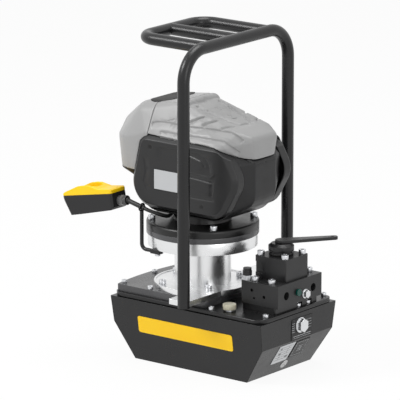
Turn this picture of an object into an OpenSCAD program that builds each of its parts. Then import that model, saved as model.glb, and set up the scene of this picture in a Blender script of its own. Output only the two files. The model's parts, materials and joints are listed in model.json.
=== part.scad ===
// Cordless hydraulic power unit: a tapered oil tank with a pump hanging in it, an upright motor in
// a cowl above it, a hand valve beside it, and a tube cage with a carrying handle round it all.
// X runs along the tank, -Y is the long face with the name plate, the origin is under the tank's centre.

/* [Tank] */
// Length of the tank at its rim
tank_l = 340; // [320:1:380]
// Width of the tank at its rim
tank_w = 222; // [214:1:260]
// Height of the tank's walls
tank_h = 114.5; // [105:0.5:135]
// Length at the line where the end walls turn inwards
tank_kink_l = 336; // [320:1:376]
// Height of that line above the floor
tank_kink_h = 66; // [40:1:80]
// Length of the flat bottom
tank_floor_l = 254; // [220:1:300]
// Width of the flat bottom
tank_floor_w = 188; // [150:1:210]
// Thickness of the tank's sheet
tank_wall = 3; // [2:0.5:5]
// Width of the rim that is turned inwards
rim_w = 22; // [18:1:26]

/* [Deck] */
// Thickness of the gasket under the deck cover
gasket_t = 1.5; // [1:0.5:3]
// Thickness of the deck cover
cover_t = 6.5; // [5:0.5:10]
// How far the cover's long edges stand inside the tank's
cover_inset = 3; // [1:0.5:6]
// Thickness of the riser plate
riser_t = 12.5; // [8:0.5:18]
// Length of the riser plate
riser_l = 208; // [206:1:212]
// Width of the riser plate
riser_w = 200; // [198:1:206]
// Thickness of the cage bracket
bracket_t = 10; // [8:0.5:16]
// Radius of the bracket's round end
bracket_r = 88; // [84:1:94]

/* [Cage] */
// Outer diameter of the cage tubes
tube_d = 22; // [18:1:25]
// Wall of the cage tubes
tube_wall = 2; // [1.5:0.5:3]
// Distance between the two upright tubes, centre to centre
cage_w = 303; // [296:1:320]
// Place of the uprights along the tank
cage_x = 30; // [26:1:34]
// Height of the top tubes' centre line above the floor
cage_h = 593; // [585:1:640]
// Bend radius of the cage's top corners
cage_bend = 55; // [40:1:70]
// How far the carrying handle reaches back from the uprights
handle_l = 149; // [130:1:165]
// Distance between the handle's side tubes, centre to centre
handle_w = 180; // [160:1:190]
// Bend radius of the handle's far corners
handle_bend = 34; // [25:1:45]

/* [Motor] */
// Place of the motor's axis along the tank
axis_x = -38; // [-42:1:-34]
// Place of the motor's axis across the tank
axis_y = -10; // [-14:1:-6]
// Radius of the bell housing
bell_r = 51; // [47:1:54]
// Height of the bell housing
bell_h = 68; // [60:1:76]
// Radius of the silver flange
flange_r = 99; // [96:1:103]
// Thickness of the silver flange
flange_t = 22; // [18:1:26]
// Radius of the adapter ring and of the motor's foot
foot_r = 101.6; // [100:0.2:106]
// Thickness of the adapter ring
ring_t = 10; // [8:1:14]
// Thickness of the motor's foot
foot_t = 14; // [12:1:18]
// Height of the neck between the foot and the cowl
neck_h = 15; // [13:1:20]
// Radius of the neck
neck_r = 52; // [48:1:56]
// Radius of the motor shaft
shaft_r = 10; // [8:0.5:11]
// Outer radius of the rotor
rotor_r = 32; // [28:1:36]
// Gap between rotor and stator
air_gap = 1; // [0.6:0.1:1.5]
// Length of the rotor and of the stator's core
core_h = 56; // [48:1:60]

/* [Cowl] */
// Length of the cowl's lower body
cowl_l = 233; // [225:1:240]
// Width of the cowl across its two side panels
cowl_w = 170; // [162:1:178]
// Width of the cowl's lower body between the side panels
body_w = 118; // [114:1:124]
// Height of the lower body, floor to parting line
cowl_lower_h = 145; // [138:1:150]
// Height of the grey upper shells above the parting line
cowl_upper_h = 60; // [58:1:66]
// How far the battery hood reaches past the lower body
hood_reach = 60; // [50:1:66]
// Wall of the cowl shells
cowl_wall = 3; // [2:0.5:4]
// How far the side panels stand proud of the grey upper shells
panel_step = 5; // [3:0.5:7]
// Gap at the seams between cowl shells
seam = 0.6; // [0.4:0.1:1]

/* [Pump] */
// Radius of the pump body
pump_r = 60; // [56:1:63]
// Depth of the pump body below the bracket
pump_h = 75; // [70:1:80]
// Radius of the pump shaft
pump_shaft_r = 8; // [6:0.5:8]
// Throw of the eccentric
throw = 4; // [2:0.5:4]
// Radius of the pistons
piston_r = 6; // [4:0.5:7]
// Number of pistons
piston_count = 3; // [3:1:5]

/* [Valve] */
// Length of the manifold along the tank
manifold_l = 81; // [78:1:86]
// Width of the manifold
manifold_w = 131; // [126:1:140]
// Height of the manifold
manifold_h = 41; // [38:1:50]
// Height of the pedestal under the manifold
pedestal_h = 12.5; // [8:0.5:18]
// Radius of the two hose ports, a 3/8 inch pipe thread's drilling
port_r = 7.4; // [6:0.1:9]
// Depth of the two hose ports
port_depth = 16; // [14:1:20]
// Distance between the two hose ports
port_gap = 79; // [70:1:84]
// Length of the valve block
valve_l = 68; // [66:1:72]
// Width of the valve block
valve_w = 66; // [64:1:70]
// Height of the valve block
valve_h = 41; // [36:1:48]
// Radius of the valve's knob
knob_r = 22; // [18:1:22]
// Reach of the valve lever from its axis
lever_l = 104; // [80:1:120]
// Rest angle of the valve lever from the tank's long axis
lever_rest = 52; // [45:1:60]

/* [Pendant] */
// Length of the pendant
pendant_l = 116; // [110:1:124]
// Width of the pendant
pendant_w = 43; // [40:1:48]
// Downward pitch of the pendant on its hanger
pendant_pitch = 10.5; // [5:0.5:15]
// Diameter of the hanger's rod
hanger_d = 7; // [5:0.5:8]
// Radius of the push buttons
button_r = 7; // [5:0.5:8]
// Travel of the push buttons
button_travel = 2.5; // [1.5:0.5:3]
// Diameter of the pendant's cord
cord_d = 7; // [6:0.5:8]

/* [Hidden] */
$fn = 96;
hull_fn = 32;
fit = 0.05;
clear = 0.3;
over = 1;
cover_z = tank_h + gasket_t;
deck_z = cover_z + cover_t;
riser_z = deck_z + riser_t;
bracket_z = riser_z + bracket_t;
flange_z = bracket_z + bell_h;
ring_z = flange_z + flange_t;
foot_z = ring_z + ring_t;
neck_z = foot_z + foot_t;
cowl_z = neck_z + neck_h;
split_z = cowl_z + cowl_lower_h;
top_z = split_z + cowl_upper_h;
// Screws: shank radius, head radius and head height of the two sizes in use
m6_r = 3;
m6_head_r = 5;
m6_head_h = 6;
m8_r = 4;
m8_head_r = 6.5;
m8_head_h = 8;
// Upper forms of the cowl, all taken from its lower body
cowl_left = axis_x - 92;
cowl_right = cowl_left + cowl_l;
hood_left = cowl_left - hood_reach;
hood_z = split_z - 71;
seam_x = cowl_left + 29;
// The hood's lid reaches over the crown to its hinge
lid_x = cowl_left + 73;
lid_half = 48;
// How much narrower the hood is at its lower edge
hood_in = 4;
crown_r = 30;
crown_half = 38;
// The parting line falls from the seam to the nose: distance back from the nose and drop below split_z
split_line = [[55, 5], [43, 10], [28, 18], [13, 25], [0, 28]];
upper_w = cowl_w - 2 * panel_step;
nose_half = 30;
hinge_r = 4;
hinge_pin_r = 2;
hinge_z = top_z - hinge_r;
hinge_half = 28;
hinge_ear = 9;
tray_t = 4;
motor_can_r = 57;
motor_can_t = 3.8;
can_z = cowl_z + cowl_wall;
core_z = can_z + 12;
can_top = core_z + core_h + 14;
bearing_r = 16;
bearing_h = 12;
coupling_r = 24;
coupling_h = 40;
coupling_z = bracket_z + 20;
shaft_bottom = coupling_z + coupling_h / 2;
shaft_top = can_top + 26;
fan_z = can_top + 4;
fan_h = 20;
pump_z = riser_z - pump_h;
cam_r = 17;
cam_z = pump_z + 24;
cam_h = 20;
cavity_r = cam_r + throw + 3;
strainer_r = 22;
strainer_z = 16;
bolt_circle_r = 92;
bolt_angles = [-136, -40, 44, 140];
recess = 1.5;
bracket_bolts = [[78, -120], [68, -43], [72, 60], [72, 170]];
bracket_bolt_at = [for (b = bracket_bolts) [axis_x + b[0] * cos(b[1]), axis_y + b[0] * sin(b[1])]];
// The valve's own axis and the manifold about it
valve_x = 131;
valve_y = 0;
manifold_x = 130.5;
manifold_y = 2.5;
manifold_z = deck_z + pedestal_h;
block_z = manifold_z + manifold_h;
knob_z = block_z + valve_h;
manifold_bolt_dx = 36;
manifold_bolt_dy = 109;
pedestal_l = 73;
pedestal_w = manifold_w - 6;
screw_pocket_r = 8;
valve_bolt_dx = 53;
valve_bolt_dy = 51;
port_z = manifold_z + 19;
pressure_x = 118;
return_x = 136;
return_z = 40;
return_y = 30;
relief_x = 98;
relief_y = -55.5;
relief_r = 7.5;
filler_x = 80;
filler_y = -84;
filler_r = 9;
end_plug_y = 6;
end_plug_z = 92;
end_plug_r = 9;
riser_screws_at = [[-157, -88], [-92, -94], [-157, 0], [-153, 88], [-60, 94]];
rim_screws_at = [[159, -82], [159, 13], [159, 41], [152, 99], [60, 100], [52, -100]];
// Pendant: the seam at its gland end is its own origin
pendant_x = -159.3;
pendant_y = -100.3;
pendant_z = 306.2;
pendant_depth = 30;
pendant_drop = 6;
guard_h = 17;
dish_w = pendant_w - 10;
dish_floor = 5;
button_at = [-60, -80];
gland_r = 10;
gland_l = 18;
boot_l = 40;
boot_drop = 13.3;
boot_r = cord_d / 2 + 0.8;
hanger_x = -106;
hanger_z = flange_z - hanger_d / 2;
// The cord's route: first from the pendant down to the coil, then from the coil up to the cowl
coil_x = -60;
coil_y = 190;
coil_turn_r = 35;
coil_rows = 3;
coil_layers = 3;
pendant_route = [[-99.5, -100.3, 284.5], [-92, -99.5, 282.4], [-83, -95.5, 279.2], [-76, -88, 275.2],
                 [-72.5, -78, 271], [-74, -66, 267.8], [-80, -51, 266.5], [-90, -33, 266.5],
                 [-101, -12, 266.5], [-111, 8, 266.5], [-120, 30, 266.5], [-131, 56, 264], [-143, 82, 252],
                 [-151, 104, 228], [-155, 118, 194], [-157, 126, 155], [-157, 130, 112], [-156, 133, 70],
                 [-153, 138, 34], [-143, 147, 12], [-124, 156, 4], [-104, 168, 3.5], [-98.5, 190, 3.5]];
housing_route = [[-40, 170, 17.5], [-49, 160, 21], [-63, 151, 25], [-84, 143, 26], [-106, 137, 32],
                 [-124, 132, 47], [-135, 128, 74], [-140, 126, 112], [-140, 124, 158], [-139, 121, 200],
                 [-136, 120, 228], [-128, 124, 250], [-117, 128, 269], [-106, 128, 286],
                 [-99, 121, 298], [-96, 109, 304], [-96, 92, 304]];

// ---------- helpers ----------

// Moves its children to the motor's axis
module at_axis(z) translate([axis_x, axis_y, z]) children();

// Upright cylinder with an optional bore right through it
module disc(r, h, bore = 0)
  difference() {
    cylinder(r = r, h = h);
    if (bore > 0) translate([0, 0, -over]) cylinder(r = bore, h = h + 2 * over);
  }

// Rectangle with true round corners, centred
module round_rect(l, w, r) {
  square([l - 2 * r, w], center = true);
  square([l, w - 2 * r], center = true);
  for (x = [-1, 1], y = [-1, 1]) translate([x * (l / 2 - r), y * (w / 2 - r)]) circle(r = r);
}

// Upright plate with round corners
module plate(l, w, h, r) linear_extrude(h) round_rect(l, w, r);

// Section whose two upper corners are round, standing on the x axis
module crowned(l, h, r) {
  translate([-l / 2, 0]) square([l, h - r]);
  translate([-l / 2 + r, 0]) square([l - 2 * r, h]);
  for (x = [-1, 1]) translate([x * (l / 2 - r), h - r]) circle(r = r);
}

// Extrudes a section drawn in x and z along y, centred on y = 0
module along_y(w) rotate([90, 0, 0]) linear_extrude(w, center = true) children();

// Extrudes a section drawn in y and z along x, centred on x = 0
module along_x(l) rotate([90, 0, 90]) linear_extrude(l, center = true) children();

// Socket head cap screw, its head's seat at the origin and its shank below
module cap_screw(r, head_r, head_h, shank) {
  difference() {
    cylinder(r = head_r, h = head_h);
    translate([0, 0, head_h / 2]) cylinder(r = r * 0.75, h = head_h, $fn = 6);
  }
  translate([0, 0, -shank]) cylinder(r = r, h = shank + head_h / 4);
}

// One quarter of a bent tube in the plane of x and y, from +x to +y about the origin
module quarter_bend(bend, r) rotate_extrude(angle = 90) translate([bend, 0]) circle(r = r);

// Unit vector, and cross product with the upright direction, for the swept cords
function unit(v) = v / norm(v);
function sideways(t) = abs(t[2]) > 0.95 ? unit(cross(t, [0, 1, 0])) : unit(cross(t, [0, 0, 1]));
// Point on the smooth curve through four neighbouring points, at u from 0 to 1
function smooth(a, b, c, d, u) =
  0.5 * (2 * b + (c - a) * u + (2 * a - 5 * b + 4 * c - d) * u * u + (3 * b - a - 3 * c + d) * u * u * u);
function route_end(p, i) = p[max(0, min(len(p) - 1, i))];
function route_points(p, steps) =
  concat([for (i = [0 : len(p) - 2], k = [0 : steps - 1])
    smooth(route_end(p, i - 1), p[i], p[i + 1], route_end(p, i + 2), k / steps)], [p[len(p) - 1]]);
function route_tangent(q, i) = unit(route_end(q, i + 1) - route_end(q, i - 1));
// Sideways direction carried along the curve, so that the swept tube doesn't twist
function carried(q, i) = i == 0 ? [sideways(route_tangent(q, 0))] :
  let (before = carried(q, i - 1), t = route_tangent(q, i), s = before[i - 1])
  concat(before, [unit(s - t * (s * t))]);

// Round tube of radius r swept along the smooth curve through the route's points
module swept(route, r, steps = 1, sides = 10) {
  q = route_points(route, steps);
  side = carried(q, len(q) - 1);
  rings = [for (i = [0 : len(q) - 1], k = [0 : sides - 1])
    let (t = route_tangent(q, i), s = side[i], a = -360 * k / sides)
    q[i] + r * (cos(a) * s + sin(a) * cross(t, s))];
  walls = [for (i = [0 : len(q) - 2], k = [0 : sides - 1])
    let (n = (k + 1) % sides)
    [i * sides + k, i * sides + n, (i + 1) * sides + n, (i + 1) * sides + k]];
  cap_a = [for (k = [sides - 1 : -1 : 0]) k];
  cap_b = [for (k = [0 : sides - 1]) (len(q) - 1) * sides + k];
  polyhedron(points = rings, faces = concat([cap_a], walls, [cap_b]), convexity = 6);
}

// ---------- tank and deck ----------

// Solid form of the tank, drawn in by inset on all sides and reaching up to height h
module tank_form(inset, h)
  intersection() {
    along_y(tank_w + 2) polygon([
      [-tank_floor_l / 2 + inset, inset], [tank_floor_l / 2 - inset, inset],
      [tank_kink_l / 2 - inset, tank_kink_h], [tank_l / 2 - inset, h],
      [-tank_l / 2 + inset, h], [-tank_kink_l / 2 + inset, tank_kink_h]]);
    along_x(tank_l + 2) polygon([
      [-tank_floor_w / 2 + inset, inset], [tank_floor_w / 2 - inset, inset],
      [tank_w / 2 - inset, h], [-tank_w / 2 + inset, h]]);
  }

// Upright holes at the places in a list
module holes(places, r, z, h) for (p = places) translate([p[0], p[1], z]) cylinder(r = r, h = h);

module tank() color([0.12, 0.12, 0.13])
  difference() {
    tank_form(0, tank_h);
    intersection() {
      tank_form(tank_wall, tank_h + tank_wall);
      translate([-tank_l, -tank_w, 0]) cube([2 * tank_l, 2 * tank_w, tank_h - tank_wall]);
    }
    translate([0, 0, tank_h - 2 * tank_wall])
      plate(tank_l - 2 * rim_w, tank_w - 2 * rim_w, 3 * tank_wall, 12);
    holes(concat(riser_screws_at, rim_screws_at), m6_r + fit, tank_h - 2 * tank_wall, 3 * tank_wall);
    translate([end_face_x(end_plug_z) - 4 * tank_wall, end_plug_y, end_plug_z])
      rotate([0, 90, 0]) cylinder(r = end_plug_r + fit, h = 8 * tank_wall);
  }

module tank_gasket() color([0.05, 0.05, 0.05])
  translate([0, 0, tank_h])
    difference() {
      plate(tank_l - 8, tank_w - 12, gasket_t, 16);
      translate([0, 0, -over]) plate(tank_l - 2 * rim_w, tank_w - 2 * rim_w, gasket_t + 2 * over, 12);
      holes(concat(riser_screws_at, rim_screws_at), m6_r + clear, -over, gasket_t + 2 * over);
    }

module deck_cover() color([0.1, 0.1, 0.11])
  difference() {
    translate([0, 0, cover_z])
      intersection() {
        plate(tank_l, tank_w - 2 * cover_inset, cover_t, 22);
        along_y(tank_w) crowned(tank_l, cover_t, 4);
        along_x(tank_l) crowned(tank_w - 2 * cover_inset, cover_t, 2.5);
      }
    at_axis(cover_z - over) cylinder(r = pump_r + clear, h = cover_t + 2 * over);
    holes(concat(riser_screws_at, rim_screws_at), m6_r + fit, cover_z - over, cover_t + 2 * over);
    translate([pressure_x, axis_y, cover_z - over]) cylinder(r = 6 + fit, h = cover_t + 2 * over);
    translate([return_x, return_y, cover_z - over]) cylinder(r = 8 + fit, h = cover_t + 2 * over);
    translate([filler_x, filler_y, cover_z - over]) cylinder(r = filler_r, h = cover_t + 2 * over);
  }

// Plan of the riser plate: straight sides, a bowed end and the same right edge as the bracket
bow_r = 520;
module riser_plan()
  intersection() {
    translate([bracket_right - riser_l / 2, 0]) round_rect(riser_l, riser_w, 12);
    translate([bracket_right - riser_l + bow_r, -15]) circle(r = bow_r, $fn = 180);
  }
module riser_plate() color([0.36, 0.36, 0.38])
  difference() {
    translate([0, 0, deck_z]) linear_extrude(riser_t) riser_plan();
    at_axis(deck_z - over) cylinder(r = pump_r + clear, h = riser_t + 2 * over);
    holes(riser_screws_at, m6_r + fit, deck_z - over, riser_t + 2 * over);
    holes(bracket_bolt_at, m8_r + fit, deck_z - over, riser_t + 2 * over);
  }

// ---------- cage ----------

bracket_right = cage_x + 8;
lug_front_l = 41;
lug_back_l = 62;
saddle_y = cage_w / 2;
module bracket_plan()
  difference() {
    union() {
      translate([axis_x, axis_y]) circle(r = bracket_r);
      translate([axis_x, axis_y - bracket_r]) square([bracket_right - axis_x, 2 * bracket_r]);
      translate([bracket_right - lug_front_l, -saddle_y]) square([lug_front_l, saddle_y]);
      translate([bracket_right - lug_back_l, 0]) square([lug_back_l, saddle_y]);
    }
    for (s = [-1, 1]) translate([cage_x, s * saddle_y]) circle(r = tube_d / 2 + fit);
  }
module cage_bracket() color([0.78, 0.79, 0.8])
  difference() {
    translate([0, 0, riser_z]) linear_extrude(bracket_t) bracket_plan();
    at_axis(bracket_z - recess) cylinder(r = bracket_r - 3, h = 2 * recess);
    at_axis(riser_z - over) cylinder(r = pump_shaft_r + 5, h = bracket_t + 2 * over);
    holes(bracket_bolt_at, m8_r + fit, riser_z - over, bracket_t + 2 * over);
    for (s = [-1, 1]) translate([cage_x, s * saddle_y, riser_z + bracket_t / 2]) rotate([s * 90, 0, 0]) {
      translate([0, 0, tube_d / 2 - over]) cylinder(r = m6_r + fit, h = 12);
      translate([0, 0, tube_d / 2 + 8]) cylinder(r = 4.2, h = 15);
    }
  }

// One tube path of the cage at a given radius; the bore runs out of both open feet
module cage_path(r, extra) {
  leg = cage_h - cage_bend - riser_z + 1.5;
  for (s = [-1, 1]) {
    translate([cage_x, s * saddle_y, riser_z - 1.5 - extra]) cylinder(r = r, h = leg + extra);
    translate([cage_x, s * (saddle_y - cage_bend), cage_h - cage_bend])
      rotate([90, 0, s * 90]) quarter_bend(cage_bend, r);
  }
  translate([cage_x, -saddle_y + cage_bend, cage_h])
    rotate([-90, 0, 0]) cylinder(r = r, h = cage_w - 2 * cage_bend);
}
module roll_cage() color([0.16, 0.16, 0.17])
  difference() {
    cage_path(tube_d / 2, 0);
    cage_path(tube_d / 2 - tube_wall, over);
    for (s = [-1, 1]) translate([cage_x, s * saddle_y, riser_z + bracket_t / 2]) rotate([s * 90, 0, 0])
      cylinder(r = m6_r + fit, h = tube_d);
  }

// The handle's two sides, its far bar and its middle rung, at a given radius
module handle_path(r) {
  far = cage_x - handle_l;
  half = handle_w / 2;
  for (s = [-1, 1]) {
    translate([far + handle_bend, s * half, cage_h])
      rotate([0, 90, 0]) cylinder(r = r, h = handle_l - handle_bend);
    translate([far + handle_bend, s * (half - handle_bend), cage_h])
      rotate([0, 0, s > 0 ? 90 : 180]) quarter_bend(handle_bend, r);
  }
  translate([far, -half + handle_bend, cage_h]) rotate([-90, 0, 0])
    cylinder(r = r, h = handle_w - 2 * handle_bend);
  translate([far, 0, cage_h]) rotate([0, 90, 0]) cylinder(r = r, h = handle_l);
}
module carry_handle() color([0.16, 0.16, 0.17])
  difference() {
    handle_path(tube_d / 2);
    handle_path(tube_d / 2 - tube_wall);
    cage_path(tube_d / 2, 0);
  }

// ---------- motor mounting ----------

module bell_housing() color([0.8, 0.81, 0.82])
  at_axis(bracket_z - recess) disc(bell_r, bell_h + recess, bell_r - 11);

module motor_flange() color([0.82, 0.83, 0.84])
  at_axis(flange_z)
    difference() {
      cylinder(r = flange_r, h = flange_t);
      translate([0, 0, -over]) cylinder(r = shaft_r + 2, h = flange_t + 2 * over);
      translate([0, 0, flange_t - bearing_h]) cylinder(r = bearing_r, h = bearing_h + over);
      bolt_ring(m8_r + fit, -over, flange_t + 2 * over);
      translate([hanger_screw_x - axis_x, pendant_y - axis_y, -over]) cylinder(r = m6_r + fit, h = 12 + over);
    }
// Upright holes on the flange's bolt circle
module bolt_ring(r, z, h)
  for (a = bolt_angles) rotate([0, 0, a]) translate([bolt_circle_r, 0, z]) cylinder(r = r, h = h);

module adapter_ring() color([0.45, 0.46, 0.47])
  at_axis(ring_z)
    difference() {
      cylinder(r = foot_r, h = ring_t);
      translate([0, 0, -over]) cylinder(r = 30, h = ring_t + 2 * over);
      bolt_ring(m8_r + fit, -over, ring_t + 2 * over);
    }

module motor_foot() color([0.09, 0.09, 0.09])
  at_axis(foot_z)
    difference() {
      union() {
        rotate_extrude() {
          square([foot_r, foot_t - 5]);
          square([foot_r - 5, foot_t]);
          translate([foot_r - 5, foot_t - 5]) circle(r = 5);
        }
        cylinder(r = neck_r, h = foot_t + neck_h + cowl_wall);
      }
      translate([0, 0, -over]) cylinder(r = neck_r - 6, h = foot_t + neck_h + cowl_wall + 2 * over);
      bolt_ring(m8_r + fit, -over, foot_t + 2 * over);
    }

module motor_can() color([0.2, 0.2, 0.21])
  at_axis(can_z)
    difference() {
      cylinder(r = motor_can_r, h = can_top - can_z);
      translate([0, 0, motor_can_t])
        cylinder(r = motor_can_r - motor_can_t, h = can_top - can_z - 2 * motor_can_t);
      translate([0, 0, -over]) cylinder(r = shaft_r + 4, h = motor_can_t + 2 * over);
      translate([0, 0, can_top - can_z - 2 * motor_can_t]) cylinder(r = bearing_r, h = 3 * motor_can_t);
    }

module stator() color([0.55, 0.35, 0.2])
  at_axis(core_z) disc(motor_can_r - motor_can_t, core_h, rotor_r + air_gap);

module rotor() color([0.35, 0.35, 0.37])
  at_axis(core_z) disc(rotor_r, core_h, shaft_r);

module motor_shaft() color([0.7, 0.71, 0.72])
  at_axis(shaft_bottom) cylinder(r = shaft_r, h = shaft_top - shaft_bottom);

blade_count = 9;
module motor_fan() color([0.15, 0.15, 0.16])
  at_axis(fan_z) {
    disc(shaft_r + 5, fan_h, shaft_r);
    disc(motor_can_r - 8, 2, shaft_r + 4);
    for (i = [0 : blade_count - 1]) rotate([0, 0, i * 360 / blade_count])
      translate([shaft_r + 4, -1, 1]) cube([motor_can_r - shaft_r - 13, 2, fan_h - 2]);
  }

module shaft_bearings() color([0.75, 0.76, 0.77]) {
  at_axis(flange_z + flange_t - bearing_h) disc(bearing_r, bearing_h, shaft_r + fit);
  at_axis(can_top - motor_can_t) disc(bearing_r, motor_can_t, shaft_r + fit);
}

module shaft_coupling() color([0.6, 0.2, 0.15])
  at_axis(coupling_z)
    difference() {
      cylinder(r = coupling_r, h = coupling_h);
      translate([0, 0, coupling_h / 2]) cylinder(r = shaft_r, h = coupling_h);
      translate([0, 0, -over]) cylinder(r = pump_shaft_r, h = coupling_h / 2 + over);
    }

// ---------- pump ----------

module pump_body() color([0.5, 0.51, 0.52])
  at_axis(pump_z)
    difference() {
      cylinder(r = pump_r, h = pump_h);
      translate([0, 0, 8]) cylinder(r = pump_shaft_r + fit, h = pump_h);
      translate([0, 0, cam_z - pump_z - 2]) cylinder(r = cavity_r, h = cam_h + 4);
      for (i = [0 : piston_count - 1]) rotate([0, 0, i * 360 / piston_count])
        translate([0, 0, cam_z - pump_z + cam_h / 2])
          rotate([0, 90, 0]) cylinder(r = piston_r + fit, h = pump_r - 6);
      translate([0, 0, -over]) cylinder(r = 6, h = 12);
      translate([pump_r - 14, 0, 11]) rotate([0, 90, 0]) cylinder(r = 6 + fit, h = 20);
      translate([20, 0, -over]) cylinder(r = 3, h = cam_z - pump_z);
    }

module pump_shaft() color([0.72, 0.73, 0.74]) {
  at_axis(pump_z + 9) cylinder(r = pump_shaft_r, h = shaft_bottom - pump_z - 9);
  at_axis(cam_z) translate([throw, 0, 0]) cylinder(r = cam_r, h = cam_h);
}

module pump_pistons() color([0.8, 0.8, 0.82])
  at_axis(cam_z + cam_h / 2)
    for (i = [0 : piston_count - 1]) rotate([0, 0, i * 360 / piston_count])
      translate([cam_r + throw + clear, 0, 0])
        rotate([0, 90, 0]) cylinder(r = piston_r, h = pump_r - cam_r - throw - 16);

module suction_strainer() color([0.6, 0.6, 0.58])
  at_axis(strainer_z)
    difference() {
      union() {
        cylinder(r = strainer_r, h = pump_z - strainer_z - 6);
        cylinder(r = 9, h = pump_z - strainer_z);
      }
      translate([0, 0, 3]) cylinder(r = 6, h = pump_z);
    }

// Bent pressure tube from the pump to the manifold, and the straight return tube
tube_bend = 18;
pressure_z = pump_z + 11;
module oil_tubes() color([0.66, 0.67, 0.68]) {
  reach = pressure_x - axis_x - (pump_r - 14);
  translate([pressure_x - reach, axis_y, pressure_z])
    rotate([0, 90, 0]) disc(6, reach - tube_bend, 4);
  translate([pressure_x - tube_bend, axis_y, pressure_z + tube_bend])
    rotate([90, 0, 0]) rotate([0, 0, -90]) rotate_extrude(angle = 90) translate([tube_bend, 0])
      difference() {
        circle(r = 6);
        circle(r = 4);
      }
  translate([pressure_x, axis_y, pressure_z + tube_bend])
    disc(6, manifold_z - pressure_z - tube_bend + 12, 4);
  translate([return_x, return_y, return_z]) disc(8, manifold_z - return_z + 12, 6);
}

// ---------- valve ----------

manifold_bolts_at = [for (i = [-1, 1], j = [-1, 1])
  [manifold_x + 1.5 + i * manifold_bolt_dx / 2, manifold_y + j * manifold_bolt_dy / 2]];
valve_bolts_at = [for (i = [-1, 1], j = [-1, 1])
  [valve_x + 1 + i * valve_bolt_dx / 2, valve_y + j * valve_bolt_dy / 2]];

module manifold_pedestal() color([0.08, 0.08, 0.08])
  difference() {
    translate([manifold_x - manifold_l / 2 + pedestal_l / 2, manifold_y, deck_z])
      plate(pedestal_l, pedestal_w, pedestal_h, 3);
    holes(rim_screws_at, screw_pocket_r, deck_z - over, pedestal_h + 2 * over);
    holes(manifold_bolts_at, m8_r + fit, deck_z - over, pedestal_h + 2 * over);
    translate([pressure_x, axis_y, deck_z - over]) cylinder(r = 6 + fit, h = pedestal_h + 2 * over);
    translate([return_x, return_y, deck_z - over]) cylinder(r = 8 + fit, h = pedestal_h + 2 * over);
  }

// A hole of radius r in the manifold's port face, at y from its middle and height z
module face_bore(y, z, r, depth)
  translate([manifold_x + manifold_l / 2 - depth, manifold_y + y, z])
    rotate([0, 90, 0]) cylinder(r = r, h = depth + over);

gauge_plug_y = -6;
steel_plug_y = 13;
plug_z = port_z - 6;
module manifold() color([0.11, 0.11, 0.12])
  difference() {
    translate([manifold_x, manifold_y, manifold_z]) plate(manifold_l, manifold_w, manifold_h, 1.5);
    for (s = [-1, 1]) face_bore(s * port_gap / 2, port_z, port_r, port_depth);
    face_bore(gauge_plug_y, port_z, 5, 12);
    face_bore(steel_plug_y, plug_z, 6, 12);
    holes(manifold_bolts_at, m8_r + fit, manifold_z - over, manifold_h + 2 * over);
    holes(valve_bolts_at, m8_r + fit, block_z - 14, 14 + over);
    translate([pressure_x, axis_y, manifold_z - over]) cylinder(r = 6 + fit, h = 12 + over);
    translate([return_x, return_y, manifold_z - over]) cylinder(r = 8 + fit, h = 12 + over);
    translate([relief_x, relief_y, block_z - 16]) cylinder(r = 5 + fit, h = 16 + over);
    for (p = [[-17, 26, 3], [10, 17, 3], [-12, 12, 2]])
      translate([manifold_x + p[0], manifold_y - manifold_w / 2 - over, manifold_z + p[1]])
        rotate([-90, 0, 0]) cylinder(r = p[2], h = 12);
  }

module valve_block() color([0.09, 0.09, 0.1])
  difference() {
    translate([valve_x + 1, valve_y, block_z]) plate(valve_l, valve_w, valve_h, 2);
    holes(valve_bolts_at, m8_r + fit, block_z - over, valve_h + 2 * over);
    translate([valve_x, valve_y, block_z + 4]) cylinder(r = 9 + fit, h = valve_h);
    translate([valve_x + 1 - valve_l / 2 - over, valve_y - valve_w / 2 - over, block_z + 10])
      cube([18, 4, 20]);
  }

module valve_knob() color([0.1, 0.1, 0.11])
  translate([valve_x, valve_y, 0]) {
    translate([0, 0, block_z + 4 + clear]) cylinder(r = 9, h = valve_h + 4);
    translate([0, 0, knob_z + clear]) cylinder(r = knob_r, h = 5);
    translate([0, 0, knob_z + clear]) cylinder(r = knob_r - 2, h = 9);
    translate([0, 0, knob_z + 8]) cylinder(r = knob_r + 1, h = 9);
    translate([0, 0, knob_z + 17]) cylinder(r1 = knob_r, r2 = knob_r - 4, h = 4);
  }

// Flat lever with a round root and tip, seated on the knob
lever_t = 6;
lever_root_r = 11;
lever_tip_r = 6;
module valve_lever() color([0.1, 0.1, 0.11])
  translate([valve_x, valve_y, knob_z + 21]) rotate([0, 0, lever_rest])
    difference() {
      linear_extrude(lever_t) {
        circle(r = lever_root_r);
        translate([lever_l - lever_tip_r, 0]) circle(r = lever_tip_r);
        polygon([[0, -lever_root_r], [lever_l - lever_tip_r, -lever_tip_r],
                 [lever_l - lever_tip_r, lever_tip_r], [0, lever_root_r]]);
      }
      translate([lever_l - 10, 0, -over]) cylinder(r = 2.5, h = lever_t + 2 * over);
    }

relief_hex_h = 9;
relief_body_h = 13;
module relief_valve() color([0.5, 0.51, 0.52])
  translate([relief_x, relief_y, block_z]) {
    cylinder(r = relief_r, h = relief_hex_h, $fn = 6);
    translate([0, 0, -14]) cylinder(r = 5, h = 14 + relief_body_h);
  }

module relief_adjuster() color([0.2, 0.2, 0.2])
  translate([relief_x, relief_y, block_z + relief_hex_h + clear])
    difference() {
      union() {
        cylinder(r = relief_r + 0.8, h = 8);
        cylinder(r = relief_r, h = 13);
      }
      translate([0, 0, -over]) cylinder(r = 5 + fit, h = relief_body_h - relief_hex_h + over + clear);
    }

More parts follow.
